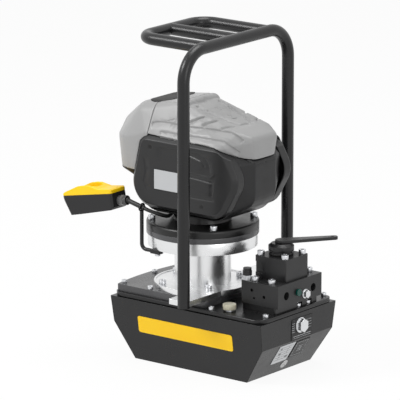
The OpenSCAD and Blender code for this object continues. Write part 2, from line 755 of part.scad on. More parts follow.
module port_plugs() {
  face_x = manifold_x + manifold_l / 2;
  color([0.1, 0.5, 0.42]) translate([face_x - 11, manifold_y + gauge_plug_y, port_z]) rotate([0, 90, 0]) {
    cylinder(r = 5, h = 11);
    translate([0, 0, 11]) cylinder(r = 6.5, h = 4);
  }
  color([0.75, 0.76, 0.77]) translate([face_x - 11, manifold_y + steel_plug_y, plug_z]) rotate([0, 90, 0]) {
    cylinder(r = 6, h = 11);
    translate([0, 0, 11]) cylinder(r = 8.5, h = 3);
    translate([0, 0, 14]) cylinder(r = 7.5, h = 6, $fn = 6);
  }
  color([0.78, 0.79, 0.8]) translate([end_face_x(end_plug_z), end_plug_y, end_plug_z]) rotate([0, 90, 0]) {
    translate([0, 0, -8]) cylinder(r = end_plug_r, h = 9);
    translate([0, 0, 0.6]) cylinder(r = 14, h = 2);
    translate([0, 0, 2.6]) cylinder(r = 12.5, h = 8, $fn = 6);
  }
}
// Outer face of the tank's end wall at height z, above the kink
function end_face_x(z) =
  tank_kink_l / 2 + (tank_l - tank_kink_l) / 2 * (z - tank_kink_h) / (tank_h - tank_kink_h);

module filler_neck() color([0.72, 0.73, 0.74])
  translate([filler_x, filler_y, cover_z]) {
    disc(filler_r - fit, cover_t, 4);
    disc(6, cover_t + 8, 4);
  }

module filler_cap() color([0.9, 0.88, 0.72])
  translate([filler_x, filler_y, deck_z + 3])
    difference() {
      cylinder(r = 12, h = 9.5);
      translate([0, 0, -over]) cylinder(r = 6 + fit, h = 5 + clear + over);
    }

// ---------- screws ----------

module m8_screws() color([0.8, 0.81, 0.82]) {
  for (p = bracket_bolt_at) translate([p[0], p[1], bracket_z - recess])
    cap_screw(m8_r, m8_head_r, m8_head_h, bracket_t + riser_t - 4);
  for (p = manifold_bolts_at) translate([p[0], p[1], block_z])
    cap_screw(m8_r, m8_head_r, m8_head_h, manifold_h + 8);
  for (p = valve_bolts_at) translate([p[0], p[1], knob_z])
    cap_screw(m8_r, m8_head_r, m8_head_h, valve_h + 12);
}

module m6_screws() color([0.82, 0.83, 0.84]) {
  for (p = rim_screws_at) translate([p[0], p[1], deck_z]) cap_screw(m6_r, m6_head_r, m6_head_h, cover_t + 4);
  for (p = riser_screws_at) translate([p[0], p[1], riser_z])
    cap_screw(m6_r, m6_head_r, m6_head_h, riser_t + cover_t + 4);
  for (s = [-1, 1]) translate([cage_x, s * (saddle_y - tube_d / 2 - 8), riser_z + bracket_t / 2])
    rotate([s * 90, 0, 0]) cap_screw(m6_r, 4, 5, 14);
  translate([hanger_screw_x, pendant_y, hanger_z - hanger_d / 2]) rotate([180, 0, 0])
    cap_screw(m6_r, m6_head_r, 4, hanger_d + 10);
}

module flange_bolts() color([0.15, 0.15, 0.16])
  at_axis(neck_z)
    for (a = bolt_angles) rotate([0, 0, a]) translate([bolt_circle_r, 0, 0])
      cap_screw(m8_r, m8_head_r, m8_head_h, foot_t + ring_t + flange_t - 2);

// ---------- cowl ----------

// Round bar along y about the cowl's middle plane, reaching half to either side
module bar(x, z, r, half)
  translate([x, axis_y, z]) rotate([90, 0, 0]) cylinder(r = r, h = 2 * half, center = true, $fn = hull_fn);

// Closed form of the lower body grown by g; sides reaches further out where the shell is open
module lower_form(g, sides)
  hull() {
    side = body_w / 2 + sides;
    bar(cowl_left + 32, cowl_z + 32, 32 + g, side);
    bar(cowl_left + 6, split_z - 4, 6 + g, side);
    bar(cowl_right - 72, cowl_z + 40, 40 + g, side);
    bar(cowl_right - 26, cowl_z + 76, 12 + g, side);
    bar(cowl_right - 19, split_z - 36, 6 + g, side);
    bar(cowl_right - 49, split_z - 4, 6 + g, side);
    bar(cowl_right - 36, cowl_z + 56, 36 + g, nose_half + g);
    bar(cowl_right - 8, split_z - 36, 8 + g, nose_half + g);
  }

// The rounds that bound one side panel, each drawn in by r_less, from y0 to y1
module cheek_bars(r_less, y0, y1)
  for (b = [
      [cowl_left + 31, split_z - 23, 22],
      [cowl_left + 39, cowl_z + 56, 45],
      [cowl_right - 40, split_z - 18, 16],
      [cowl_right - 42, split_z - 62, 40],
      [cowl_right - 63, cowl_z + 54, 44]])
    translate([b[0], y0, b[1]]) rotate([-90, 0, 0])
      cylinder(r = b[2] - r_less, h = y1 - y0, $fn = hull_fn);
module cheek_form(g) {
  depth = (cowl_w - body_w) / 2;
  hull() {
    cheek_bars(-g, 0, depth - 8 + g);
    cheek_bars(8 - g, 0, depth + g);
  }
}
cowl_screws_at = [[cowl_left + 39, split_z - 21.5], [cowl_left + 156, cowl_z + 31]];
screw_sink = 1.6;
// Moves its children to the side of the lower body, outwards along y; s is -1 at the front
module cheek_at(s)
  translate([0, axis_y, 0]) mirror([0, s < 0 ? 1 : 0, 0]) translate([0, body_w / 2, 0]) children();
// One panel's closed form, drawn in by g; the rear one keeps a lip outside the grey shell
module panel_form(s, g)
  difference() {
    cheek_form(-g);
    translate([0, -body_w / 2, -g]) mirror([0, s < 0 ? 1 : 0, 0]) translate([0, -axis_y, 0])
      above_split(s < 0 ? cowl_w : upper_w / 2 + clear + g);
  }
module side_panel(s)
  cheek_at(s)
    difference() {
      panel_form(s, 0);
      translate([0, -over, 0]) panel_form(s, cowl_wall);
      for (p = cowl_screws_at)
        translate([p[0], (cowl_w - body_w) / 2 - screw_sink, p[1]]) rotate([-90, 0, 0]) {
        cylinder(r = 4 + clear, h = screw_sink + over);
        translate([0, 0, -cowl_wall]) cylinder(r = 1.8 + fit, h = cowl_wall + over);
      }
    }
module front_panel() color([0.12, 0.12, 0.12]) side_panel(-1);
module rear_panel() color([0.12, 0.12, 0.12]) side_panel(1);

// Everything below the parting line, which drops over the nose
module below_split(gap)
  along_y(2 * cowl_w) polygon(concat(
    [[hood_left - 50, 0], [cowl_right + 50, 0], [cowl_right + 50, split_z - split_line[4][1] - gap]],
    [for (i = [4 : -1 : 0]) [cowl_right - split_line[i][0], split_z - split_line[i][1] - gap]],
    [[seam_x, split_z - gap], [hood_left - 50, split_z - gap]]));

// What of the side panels lies above the parting line, up to reach from the cowl's middle plane
module above_split(reach)
  difference() {
    translate([hood_left, axis_y - reach, shell_low]) cube([2 * cowl_l, 2 * reach, 2 * top_z]);
    below_split(clear);
  }

module cowl_lower() color([0.13, 0.13, 0.13])
  difference() {
    intersection() {
      union() {
        lower_form(0, 0);
        hull() {
          translate([hood_left + 34, axis_y, hood_z - tray_t]) plate(60, 130, tray_t, 28, $fn = hull_fn);
          translate([cowl_left, axis_y, hood_z - 24]) plate(4, 110, 24, 1, $fn = hull_fn);
        }
      }
      below_split(0);
    }
    lower_form(-cowl_wall, over + cowl_wall);
    at_axis(cowl_z - over) cylinder(r = neck_r + fit, h = cowl_wall + 2 * over);
  }

module dome(x, y, z, r) translate([x, axis_y + y, z]) sphere(r = r, $fn = hull_fn);
module post(x, y, z0, z1, r) translate([x, axis_y + y, z0]) cylinder(r = r, h = z1 - z0, $fn = hull_fn);
shell_low = split_z - split_line[4][1] - 12;
// Closed form of the hood and crown, drawn in by g
module crown_form(g)
  hull() {
    half = upper_w / 2;
    for (s = [-1, 1]) {
      post(hood_left + 46, s * (half - 48), hood_z - g, hood_z + 1, 46 - hood_in - g);
      post(hood_left + 46, s * (half - 48), split_z - 20, split_z - 12, 47 - g);
      post(cowl_left + 25, s * (half - 25), hood_z - g, split_z + 2, 25 - g);
      post(cowl_left + 75, s * (half - 25), shell_low - g, split_z, 25 - g);
      dome(hood_left + 32, s * 28, split_z - 3, 30 - g);
      dome(cowl_left + 5, s * crown_half, top_z - crown_r - 8, crown_r - g);
      dome(cowl_left + 80, s * (crown_half + 6), top_z - 14, 14 - g);
      dome(cowl_left + 78, s * 56, split_z + 22, 14 - g);
    }
  }
// The slope's raised middle, narrowing towards the nose
module ridge_form(g)
  hull()
    for (s = [-1, 1]) {
      dome(cowl_right - 145, s * 26, top_z - 20, 14 - g);
      dome(cowl_right - 53, s * 6, split_z + 12, 14 - g);
    }
// The shoulders either side of it and the nose
module nose_form(g)
  hull() {
    half = upper_w / 2;
    for (s = [-1, 1]) {
      post(cowl_left + 75, s * (half - 25), shell_low - g, split_z, 25 - g);
      post(cowl_right - 56, s * (half - 25), shell_low - g, split_z - 6, 25 - g);
      post(cowl_right - 12, s * (nose_half - 12), shell_low - g, split_z - 6, 12 - g);
      dome(cowl_right - 139, s * 40, top_z - 21, 14 - g);
      dome(cowl_right - 147, s * 54, split_z + 22, 14 - g);
      dome(cowl_right - 92, s * 50, split_z + 21, 14 - g);
      dome(cowl_right - 35, s * 42, split_z + 10, 13 - g);
      dome(cowl_right - 14, s * 30, split_z + 3, 13 - g);
    }
  }
module upper_form(g) {
  crown_form(g);
  ridge_form(g);
  nose_form(g);
}
module upper_shell()
  difference() {
    upper_form(0);
    upper_form(cowl_wall);
  }

// Hinge barrel along y between y0 and y1 from the middle plane
module barrel(r, y0, y1)
  translate([lid_x, axis_y + y0, hinge_z]) rotate([-90, 0, 0]) cylinder(r = r, h = y1 - y0);

// Everything of the upper shells that opens with the hood, drawn in by g
module hood_region(g) {
  translate([hood_left - 50, axis_y - cowl_w, 0]) cube([seam_x - g - hood_left + 50, 2 * cowl_w, 2 * top_z]);
  translate([hood_left - 50, axis_y - lid_half + g, top_z - 12])
    cube([lid_x - g - hood_left + 50, 2 * (lid_half - g), 20]);
}
module hinge_ears(r, y0, y1) for (s = [-1, 1]) barrel(r, s > 0 ? y0 : -y1, s > 0 ? y1 : -y0);

module cowl_top() color([0.6, 0.6, 0.61])
  difference() {
    union() {
      difference() {
        upper_shell();
        below_split(-seam / 2);
        hood_region(-seam / 2);
        barrel(hinge_r + seam, -lid_half, lid_half);
      }
      hinge_ears(hinge_r, hinge_half + clear, hinge_half + clear + hinge_ear);
    }
    barrel(hinge_pin_r + fit, -lid_half, lid_half);
  }

latch_half = 15;
latch_h = 15;
latch_z = hood_z + 9;
latch_gap = 0.5;
module battery_hood() color([0.62, 0.62, 0.63])
  difference() {
    union() {
      difference() {
        intersection() {
          crown_form(0);
          hood_region(seam / 2);
        }
        crown_form(cowl_wall);
        translate([cowl_left + 30, axis_y - cowl_w, 0]) cube([cowl_l, 2 * cowl_w, split_z + seam / 2]);
        for (s = [-1, 1]) cheek_at(s) translate([0, -over, 0]) cheek_form(seam);
        lower_form(clear, 0);
        translate([hood_left - 50, axis_y - cowl_w, 0]) cube([2 * cowl_l, 2 * cowl_w, hood_z + clear]);
        translate([hood_left - over, axis_y - latch_half - latch_gap, latch_z - latch_gap])
          cube([4 * cowl_wall, 2 * (latch_half + latch_gap), latch_h + 2 * latch_gap]);
        hinge_ears(hinge_r + seam, hinge_half, hinge_half + hinge_ear + 2 * clear);
      }
      barrel(hinge_r, -hinge_half, hinge_half);
    }
    barrel(hinge_pin_r + fit, -hinge_half - over, hinge_half + over);
  }

module hood_hinge_pin() color([0.7, 0.7, 0.72])
  barrel(hinge_pin_r, -hinge_half - hinge_ear, hinge_half + hinge_ear);

module hood_latch() color([0.08, 0.08, 0.08]) {
  flange_x = hood_left + hood_in + cowl_wall + 0.8;
  translate([hood_left + 0.5, axis_y - latch_half, latch_z])
    cube([flange_x - hood_left, 2 * latch_half, latch_h]);
  translate([flange_x, axis_y - latch_half - 3, latch_z - 3])
    cube([2, 2 * latch_half + 6, latch_h + 6]);
}

// Dark oval inlay on the slope of the hood
inlay_x = hood_left + 84;
module top_inlay() color([0.1, 0.1, 0.09])
  difference() {
    intersection() {
      crown_form(-0.8);
      translate([inlay_x, axis_y, split_z]) linear_extrude(2 * cowl_upper_h) {
        square([48, 50], center = true);
        for (s = [-1, 1]) translate([0, s * 25]) circle(r = 24);
      }
    }
    crown_form(0);
  }

// ---------- inside the cowl ----------

battery_l = 42;
battery_w = 94;
battery_h = 68;
cradle_t = 4;
battery_x = cowl_left - 5 - battery_l;
module battery_pack() color([0.2, 0.2, 0.2])
  translate([battery_x, axis_y - battery_w / 2, hood_z + cradle_t]) cube([battery_l, battery_w, battery_h]);

module battery_cradle() color([0.3, 0.3, 0.3]) {
  translate([battery_x - 2, axis_y - battery_w / 2 - 2, hood_z])
    cube([battery_l + 7, battery_w + 4, cradle_t]);
  translate([cowl_left - 5, axis_y - 25, hood_z])
    cube([5, 50, 55]);
}

controller_t = 16;
controller_w = 50;
module motor_controller() color([0.25, 0.28, 0.3])
  translate([cowl_right - cowl_wall - clear - controller_t, axis_y - controller_w / 2, cowl_z + 58])
    cube([controller_t, controller_w, controller_w]);

module cowl_screws() color([0.1, 0.1, 0.1])
  for (s = [-1, 1], p = cowl_screws_at)
    translate([p[0], axis_y + s * (cowl_w / 2 - screw_sink), p[1]]) rotate([-s * 90, 0, 0]) {
      difference() {
        cylinder(r = 4, h = screw_sink - clear);
        translate([0, 0, 1]) cylinder(r = 1.8, h = screw_sink, $fn = 6);
      }
      translate([0, 0, -8]) cylinder(r = 1.8, h = 8);
    }

// ---------- name plates, all blank ----------

plate_t = 1;
front_lean = atan((tank_w - tank_floor_w) / 2 / tank_h);
end_slope = atan((tank_kink_l - tank_floor_l) / 2 / tank_kink_h);
end_lean = atan((tank_l - tank_kink_l) / 2 / (tank_h - tank_kink_h));
module name_plates() {
  color([0.95, 0.78, 0.02]) translate([-4, -tank_floor_w / 2 - 70 * tan(front_lean), 70])
    rotate([90 + front_lean, 0, 0]) plate(214, 31, plate_t, 4);
  color([0.07, 0.07, 0.07]) translate([end_face_x(86), 12, 86]) rotate([90 + end_lean, 0, 90])
    difference() {
      plate(62, 40, plate_t, 2);
      translate([end_plug_y - 12, end_plug_z - 86, -over]) cylinder(r = 15, h = plate_t + 2 * over);
    }
  translate([tank_floor_l / 2 + 42 * tan(end_slope), 0, 42]) rotate([90 + end_slope, 0, 90]) {
    color([0.75, 0.76, 0.77]) translate([-24, 2, 0]) plate(46, 44, plate_t, 1.5);
    color([0.07, 0.07, 0.07]) translate([24, 2, 0]) plate(40, 40, plate_t, 1.5);
    color([0.9, 0.9, 0.9]) translate([2, -32, 0]) cylinder(r = 9, h = plate_t);
  }
}

// ---------- pendant ----------

// Moves its children to the pendant's own frame: x to the gland end, z up through the cover
module at_pendant() translate([pendant_x, pendant_y, pendant_z]) rotate([0, -pendant_pitch, 0]) children();

module pendant_body() color([0.12, 0.12, 0.12])
  at_pendant()
    difference() {
      intersection() {
        along_y(pendant_w) polygon([
          [0, 0], [-pendant_l, 0],
          [-pendant_l + 15, -pendant_depth - pendant_drop],
          [-pendant_l + 36, -pendant_depth - pendant_drop + 1],
          [-6, -pendant_depth],
          [0, -pendant_depth + 5]]);
        translate([-pendant_l / 2, 0, -2 * pendant_depth]) plate(pendant_l, pendant_w, 2 * pendant_depth, 5);
      }
      translate([-pendant_l / 2 + 3, 0, -pendant_depth + 5])
        plate(pendant_l - 28, pendant_w - 6, pendant_depth, 3);
      translate([-6, 0, -pendant_depth / 2 - 1]) rotate([0, 90, 0]) cylinder(r = 7, h = 12);
    }

module pendant_cover() color([0.98, 0.8, 0.02])
  at_pendant()
    difference() {
      intersection() {
        along_y(pendant_w) polygon([
          [0, 0], [0, 6], [-5, 8], [-32, 9], [-52, guard_h - 1], [-62, guard_h], [-78, guard_h - 1],
          [-pendant_l + 8, 7], [-pendant_l, 3], [-pendant_l, 0]]);
        translate([-pendant_l / 2, 0, 0]) plate(pendant_l, pendant_w, 2 * guard_h, 5);
      }
      translate([-70, 0, dish_floor]) plate(54, dish_w, 2 * guard_h, 12);
      for (x = button_at) translate([x, 0, -over]) cylinder(r = button_r + fit, h = 2 * guard_h);
    }

module push_button(x)
  at_pendant() translate([x, 0, 0]) {
    translate([0, 0, -3]) cylinder(r = button_r, h = dish_floor + 3 + button_travel + 1.5);
    translate([0, 0, -3 - 1]) cylinder(r = button_r + 1.5, h = 3);
  }
module button_start() color([0.1, 0.45, 0.2]) push_button(button_at[0]);
module button_stop() color([0.1, 0.1, 0.1]) push_button(button_at[1]);

gland_axis_z = -pendant_depth / 2 - 1;
module pendant_gland() color([0.5, 0.5, 0.5])
  at_pendant() translate([0, 0, gland_axis_z]) rotate([0, 90, 0]) {
    cylinder(r = gland_r - 1, h = 5);
    translate([0, 0, 5]) cylinder(r = gland_r, h = 7, $fn = 6);
    translate([0, 0, 12]) cylinder(r = gland_r - 2, h = gland_l - 12);
    translate([0, 0, gland_l]) rotate([0, boot_drop + pendant_pitch, 0]) {
      sphere(r = boot_r + 1);
      cylinder(r = boot_r, h = boot_l);
    }
  }
// Where the cord's strain relief starts, and a place along it
boot_start = [pendant_x - gland_axis_z * sin(pendant_pitch) + gland_l * cos(pendant_pitch), pendant_y,
              pendant_z + gland_axis_z * cos(pendant_pitch) + gland_l * sin(pendant_pitch)];
function boot_at(d) = boot_start + d * [cos(boot_drop), 0, -sin(boot_drop)];

// Wire-form hanger: a foot screwed under the flange, an arm, an upright and an eye round the strain relief
hanger_bend = 10;
hanger_foot_l = 20;
hanger_foot_x = -62;
eye_r = boot_r + clear + 1.8;
eye_z = boot_at((hanger_x - boot_start[0]) / cos(boot_drop))[2];
module pendant_hanger() color([0.08, 0.08, 0.08])
  difference() {
    union() {
      translate([hanger_foot_x - hanger_foot_l, pendant_y - 6, hanger_z - hanger_d / 2])
        cube([hanger_foot_l, 12, hanger_d]);
      translate([hanger_x + hanger_bend, pendant_y, hanger_z])
        rotate([0, 90, 0]) cylinder(r = hanger_d / 2, h = hanger_foot_x - hanger_x - hanger_bend - 1);
      translate([hanger_x + hanger_bend, pendant_y, hanger_z + hanger_bend])
        rotate([90, 0, 0]) rotate([0, 0, 180]) quarter_bend(hanger_bend, hanger_d / 2);
      translate([hanger_x, pendant_y, hanger_z + hanger_bend])
        cylinder(r = hanger_d / 2, h = eye_z - hanger_z - hanger_bend - eye_r);
      translate([hanger_x, pendant_y, eye_z]) rotate([0, 90 + boot_drop, 0])
        rotate_extrude() translate([eye_r, 0]) circle(r = 1.8);
    }
    translate([hanger_screw_x, pendant_y, hanger_z - hanger_d]) cylinder(r = m6_r + fit, h = 2 * hanger_d);
  }
hanger_screw_x = hanger_foot_x - 8;

module housing_gland() color([0.15, 0.15, 0.15])
  translate([gland_x, axis_y + cowl_w / 2, gland_z]) rotate([-90, 0, 0]) {
    cylinder(r = 9, h = 8, $fn = 6);
    translate([0, 0, 8]) cylinder(r1 = cord_d / 2 + 2.5, r2 = cord_d / 2 + 0.4, h = 9);
  }
gland_x = housing_route[len(housing_route) - 1][0];
gland_z = housing_route[len(housing_route) - 1][2];

// ---------- cord ----------

module pendant_cord() color([0.08, 0.08, 0.08]) swept(pendant_route, cord_d / 2);
module housing_cord() color([0.08, 0.08, 0.08]) swept(housing_route, cord_d / 2);
module cord_coil() color([0.08, 0.08, 0.08])
  translate([coil_x, coil_y, 0]) rotate_extrude()
    translate([coil_turn_r - coil_rows * cord_d / 2, 0]) square([coil_rows * cord_d, coil_layers * cord_d]);

tank();
tank_gasket();
deck_cover();
riser_plate();
cage_bracket();
bell_housing();
motor_flange();
adapter_ring();
motor_foot();
motor_can();
roll_cage();
carry_handle();
cowl_lower();
cowl_top();
battery_hood();
hood_hinge_pin();
hood_latch();
top_inlay();
front_panel();
rear_panel();
battery_pack();
battery_cradle();
motor_controller();
stator();
rotor();
motor_shaft();
motor_fan();
shaft_bearings();
shaft_coupling();
pump_body();
pump_shaft();
pump_pistons();
suction_strainer();
oil_tubes();
manifold_pedestal();
manifold();
valve_block();
valve_knob();
valve_lever();
relief_valve();
relief_adjuster();
port_plugs();
filler_neck();
filler_cap();
m8_screws();
m6_screws();
flange_bolts();
cowl_screws();
name_plates();
pendant_hanger();
pendant_body();
pendant_cover();
button_start();
button_stop();
pendant_gland();
housing_gland();
pendant_cord();
cord_coil();
housing_cord();
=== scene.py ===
import json
import math
import bpy
import bmesh
import numpy as np
from mathutils import Matrix, Vector


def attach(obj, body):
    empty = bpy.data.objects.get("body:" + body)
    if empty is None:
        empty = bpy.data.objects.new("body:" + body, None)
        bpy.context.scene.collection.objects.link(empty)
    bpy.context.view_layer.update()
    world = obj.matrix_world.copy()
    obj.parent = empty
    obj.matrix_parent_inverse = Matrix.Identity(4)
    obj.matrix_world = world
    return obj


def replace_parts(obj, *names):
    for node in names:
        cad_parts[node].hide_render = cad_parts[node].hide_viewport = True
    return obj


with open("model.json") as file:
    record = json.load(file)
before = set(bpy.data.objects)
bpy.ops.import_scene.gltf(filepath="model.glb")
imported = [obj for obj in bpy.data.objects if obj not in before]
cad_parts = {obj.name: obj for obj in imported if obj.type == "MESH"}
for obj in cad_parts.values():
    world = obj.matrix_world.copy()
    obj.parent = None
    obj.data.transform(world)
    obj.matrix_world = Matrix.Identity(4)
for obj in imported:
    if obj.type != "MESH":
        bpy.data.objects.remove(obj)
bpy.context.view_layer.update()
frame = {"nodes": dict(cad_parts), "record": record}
SLOT_OF = {s["node"]: s["material_slot"] for s in frame["record"]["subparts"]}
MM = 0.001
MERGE = 1e-6  # metres between vertices that are one


def mm(*values):
    """A point given in millimetres, in metres."""
    return Vector(values) * MM


def add_object(name, data):
    obj = bpy.data.objects.new(name, data)
    bpy.context.scene.collection.objects.link(obj)
    return obj


# ---------- camera ----------

AZIMUTH, ELEVATION = math.radians(38.15), math.radians(14)
DISTANCE = 7.5086
TARGET = mm(-52.35, 0, 287.6)
SENSOR, LENS, FAR = 36, 375.9, 100


def make_camera():
    out = Vector((math.sin(AZIMUTH) * math.cos(ELEVATION), -math.cos(AZIMUTH) * math.cos(ELEVATION),
                  math.sin(ELEVATION)))
    data = bpy.data.cameras.new("camera")
    data.sensor_width = SENSOR
    data.lens = LENS
    data.clip_end = FAR
    cam = add_object("camera", data)
    cam.location = TARGET + out * DISTANCE
    cam.rotation_euler = (-out).to_track_quat("-Z", "Y").to_euler()
    bpy.context.scene.camera = cam


make_camera()

# ---------- materials ----------

GLOSS = 0.4  # how much every surface that isn't metal reflects
ROUGH_SPREAD, MOULDED_ROUGH = 0.05, 0.45
FINE_GRAIN = 0.00004  # metres of relief in moulded and painted skins


class Shader:
    """A Principled material under construction, in the object's own coordinates."""

    def __init__(self, name, color, rough, metal=0):
        self.mat = bpy.data.materials.new(name)
        self.mat.use_nodes = True
        self.tree = self.mat.node_tree
        self.tree.nodes.clear()
        self.out = self.add("ShaderNodeOutputMaterial")
        self.bsdf = self.add("ShaderNodeBsdfPrincipled")
        self.link(self.bsdf.outputs[0], self.out.inputs[0])
        self.bsdf.inputs["Base Color"].default_value = (*color, 1)
        self.bsdf.inputs["Roughness"].default_value = rough
        self.bsdf.inputs["Metallic"].default_value = metal
        self.bsdf.inputs["Specular IOR Level"].default_value = GLOSS
        self.rough = rough
        self.where = self.add("ShaderNodeTexCoord").outputs["Object"]

    def add(self, kind, **settings):
        node = self.tree.nodes.new(kind)
        for key, value in settings.items():
            setattr(node, key, value)
        return node

    def link(self, a, b):
        self.tree.links.new(a, b)

    def times(self, value, factor):
        node = self.add("ShaderNodeMath", operation="MULTIPLY")
        self.link(value, node.inputs[0])
        node.inputs[1].default_value = factor
        return node.outputs[0]

    def noise(self, size, detail, stretch=(1, 1, 1)):
        """Noise whose grains are about size metres across, drawn out along each axis by stretch."""
        scale = self.add("ShaderNodeMapping")
        scale.inputs["Scale"].default_value = [1 / (size * s) for s in stretch]
        self.link(self.where, scale.inputs[0])
        node = self.add("ShaderNodeTexNoise")
        node.inputs["Scale"].default_value = 1
        node.inputs["Detail"].default_value = detail
        self.link(scale.outputs[0], node.inputs["Vector"])
        return node.outputs["Fac"]

    def ramp(self, value, low, high, to_low=0.0, to_high=1.0):
        """Maps value, held between low and high, to the range from to_low to to_high."""
        node = self.add("ShaderNodeMapRange")
        for key, v in (("From Min", low), ("From Max", high), ("To Min", to_low), ("To Max", to_high)):
            node.inputs[key].default_value = v
        self.link(value, node.inputs["Value"])
        return node.outputs[0]

    def tint(self, fac, color):
        """Mixes the base colour with another by fac."""
        node = self.add("ShaderNodeMix", data_type="RGBA")
        self.link(fac, node.inputs["Factor"])
        socket = self.bsdf.inputs["Base Color"]
        node.inputs["A"].default_value = socket.default_value
        node.inputs["B"].default_value = (*color, 1)
        self.link(node.outputs["Result"], socket)
        return self

    def vary_rough(self, value, spread):
        """Lets the roughness follow a noise by spread either way."""
        self.link(self.ramp(value, 0.3, 0.7, self.rough - spread, self.rough + spread),
                  self.bsdf.inputs["Roughness"])
        return self

    def bump(self, value, depth):
        """Takes a noise as relief of depth metres."""
        self.height = self.times(value, depth)
        return self

    def done(self, soft_edge):
        """The finished material, its edges shaded round over soft_edge metres."""
        node = self.add("ShaderNodeBump")
        node.inputs["Distance"].default_value = 1
        self.link(self.height, node.inputs["Height"])
        bevel = self.add("ShaderNodeBevel", samples=4)
        bevel.inputs["Radius"].default_value = soft_edge
        self.link(bevel.outputs[0], node.inputs["Normal"])
        self.link(node.outputs[0], self.bsdf.inputs["Normal"])
        return self.mat


def powder_coat(name, color, rough):
    """Sprayed and baked paint with a fine orange peel."""
    s = Shader(name, color, rough)
    s.bump(s.noise(0.0011, 2), FINE_GRAIN).vary_rough(s.noise(0.03, 4), ROUGH_SPREAD)
    s.tint(s.ramp(s.noise(0.05, 5), 0.45, 0.75, 0, 0.35), [min(1, c * 1.4 + 0.003) for c in color])
    return s.done(0.0006)


def machined(name, color, rough, grain=0.000006, lay=(30, 30, 1)):
    """Cut metal whose tool marks run along the axes where lay is large."""
    s = Shader(name, color, rough, metal=1)
    s.bump(s.noise(0.0006, 3, lay), grain).vary_rough(s.noise(0.02, 4), ROUGH_SPREAD)
    s.tint(s.ramp(s.noise(0.03, 5), 0.5, 0.8, 0, 0.2), [c * 0.82 for c in color])
    return s.done(0.0005)


def moulded(name, color, rough=MOULDED_ROUGH, grain=FINE_GRAIN):
    """Moulded plastic or rubber with a fine spark-eroded grain."""
    s = Shader(name, color, rough)
    s.bump(s.noise(0.0006, 2), grain).vary_rough(s.noise(0.02, 4), ROUGH_SPREAD)
    s.tint(s.ramp(s.noise(0.06, 4), 0.45, 0.7, 0, 0.12), [min(1, c * 1.25 + 0.004) for c in color])
    return s.done(0.0006)


def two_tone(name, color, other, x_limit):
    """Moulded plastic that changes colour past x_limit metres along X."""
    s = Shader(name, color, MOULDED_ROUGH)
    split = s.add("ShaderNodeSeparateXYZ")
    s.link(s.where, split.inputs[0])
    s.bump(s.noise(0.0006, 2), FINE_GRAIN).vary_rough(s.noise(0.02, 4), ROUGH_SPREAD)
    s.tint(s.ramp(split.outputs[0], x_limit, x_limit + 0.0003), other)
    return s.done(0.0004)


GLAND_BOOT_X = -0.1415  # where the gland's nut ends and its boot starts

RECIPES = {
    "black_powder_coat": (powder_coat, (0.008, 0.008, 0.0085), 0.3),
    "grey_paint": (powder_coat, (0.07, 0.07, 0.073), 0.26),
    "gasket_rubber": (moulded, (0.015, 0.015, 0.015), 0.7),
    "machined_aluminium": (machined, (0.8, 0.805, 0.81), 0.3),
    "black_casting": (powder_coat, (0.007, 0.007, 0.007), 0.32),
    "dark_steel": (powder_coat, (0.03, 0.03, 0.033), 0.35),
    "black_moulding": (moulded, (0.0085, 0.0085, 0.009), 0.42),
    "grey_moulding": (moulded, (0.33, 0.33, 0.33), 0.38),
    "battery_case": (moulded, (0.03, 0.03, 0.035)),
    "controller_case": (machined, (0.4, 0.42, 0.44), 0.45),
    "winding": (machined, (0.6, 0.28, 0.12), 0.35),
    "core_steel": (machined, (0.4, 0.4, 0.41), 0.4),
    "ground_steel": (machined, (0.65, 0.66, 0.67), 0.2),
    "coupling_red": (moulded, (0.4, 0.05, 0.03)),
    "strainer_mesh": (machined, (0.5, 0.5, 0.47), 0.5, 0.0001, (1, 1, 1)),
    "zinc_steel": (machined, (0.66, 0.67, 0.69), 0.3),
    "black_oxide": (powder_coat, (0.011, 0.011, 0.0115), 0.36),
    "plug_finish": (machined, (0.7, 0.71, 0.72), 0.25),
    "cap_cream": (moulded, (0.62, 0.59, 0.45), 0.3),
    "plate_yellow": (moulded, (0.96, 0.58, 0.0), 0.4),
    "pendant_yellow": (moulded, (0.96, 0.6, 0.0), 0.4),
    "button_green": (moulded, (0.02, 0.25, 0.08), 0.3),
    "gland_grey": (moulded, (0.12, 0.12, 0.12), 0.4),
    "gland_boot": (two_tone, (0.12, 0.12, 0.12), (0.01, 0.01, 0.01), GLAND_BOOT_X),
    "panel_moulding": (moulded, (0.014, 0.014, 0.0145), 0.38),
    "inlay_black": (moulded, (0.004, 0.0038, 0.0035), 0.6),
    "screw_black": (moulded, (0.003, 0.003, 0.003), 0.5),
    "cord_rubber": (moulded, (0.012, 0.012, 0.012), 0.5),
    "label_white": (moulded, (0.75, 0.75, 0.75), 0.4, 0.00001),
    "label_silver": (machined, (0.55, 0.56, 0.57), 0.42, 0.000003, (1, 30, 1)),
    "gauge_teal": (moulded, (0.0, 0.06, 0.045), 0.25, 0.00001),
}

# The nodes that look unlike the rest of their material slot
OWN_MATERIAL = {"pendant_gland": "gland_boot", "cowl_screws": "screw_black", "top_inlay": "inlay_black"}

MATERIALS = {name: make(name, *values) for name, (make, *values) in RECIPES.items()}


def paint(obj, material):
    obj.data.materials.clear()
    obj.data.materials.append(MATERIALS[material])


for name, node in frame["nodes"].items():
    paint(node, OWN_MATERIAL.get(name, SLOT_OF[name]))

# ---------- cord ----------

CORD_D = 0.007
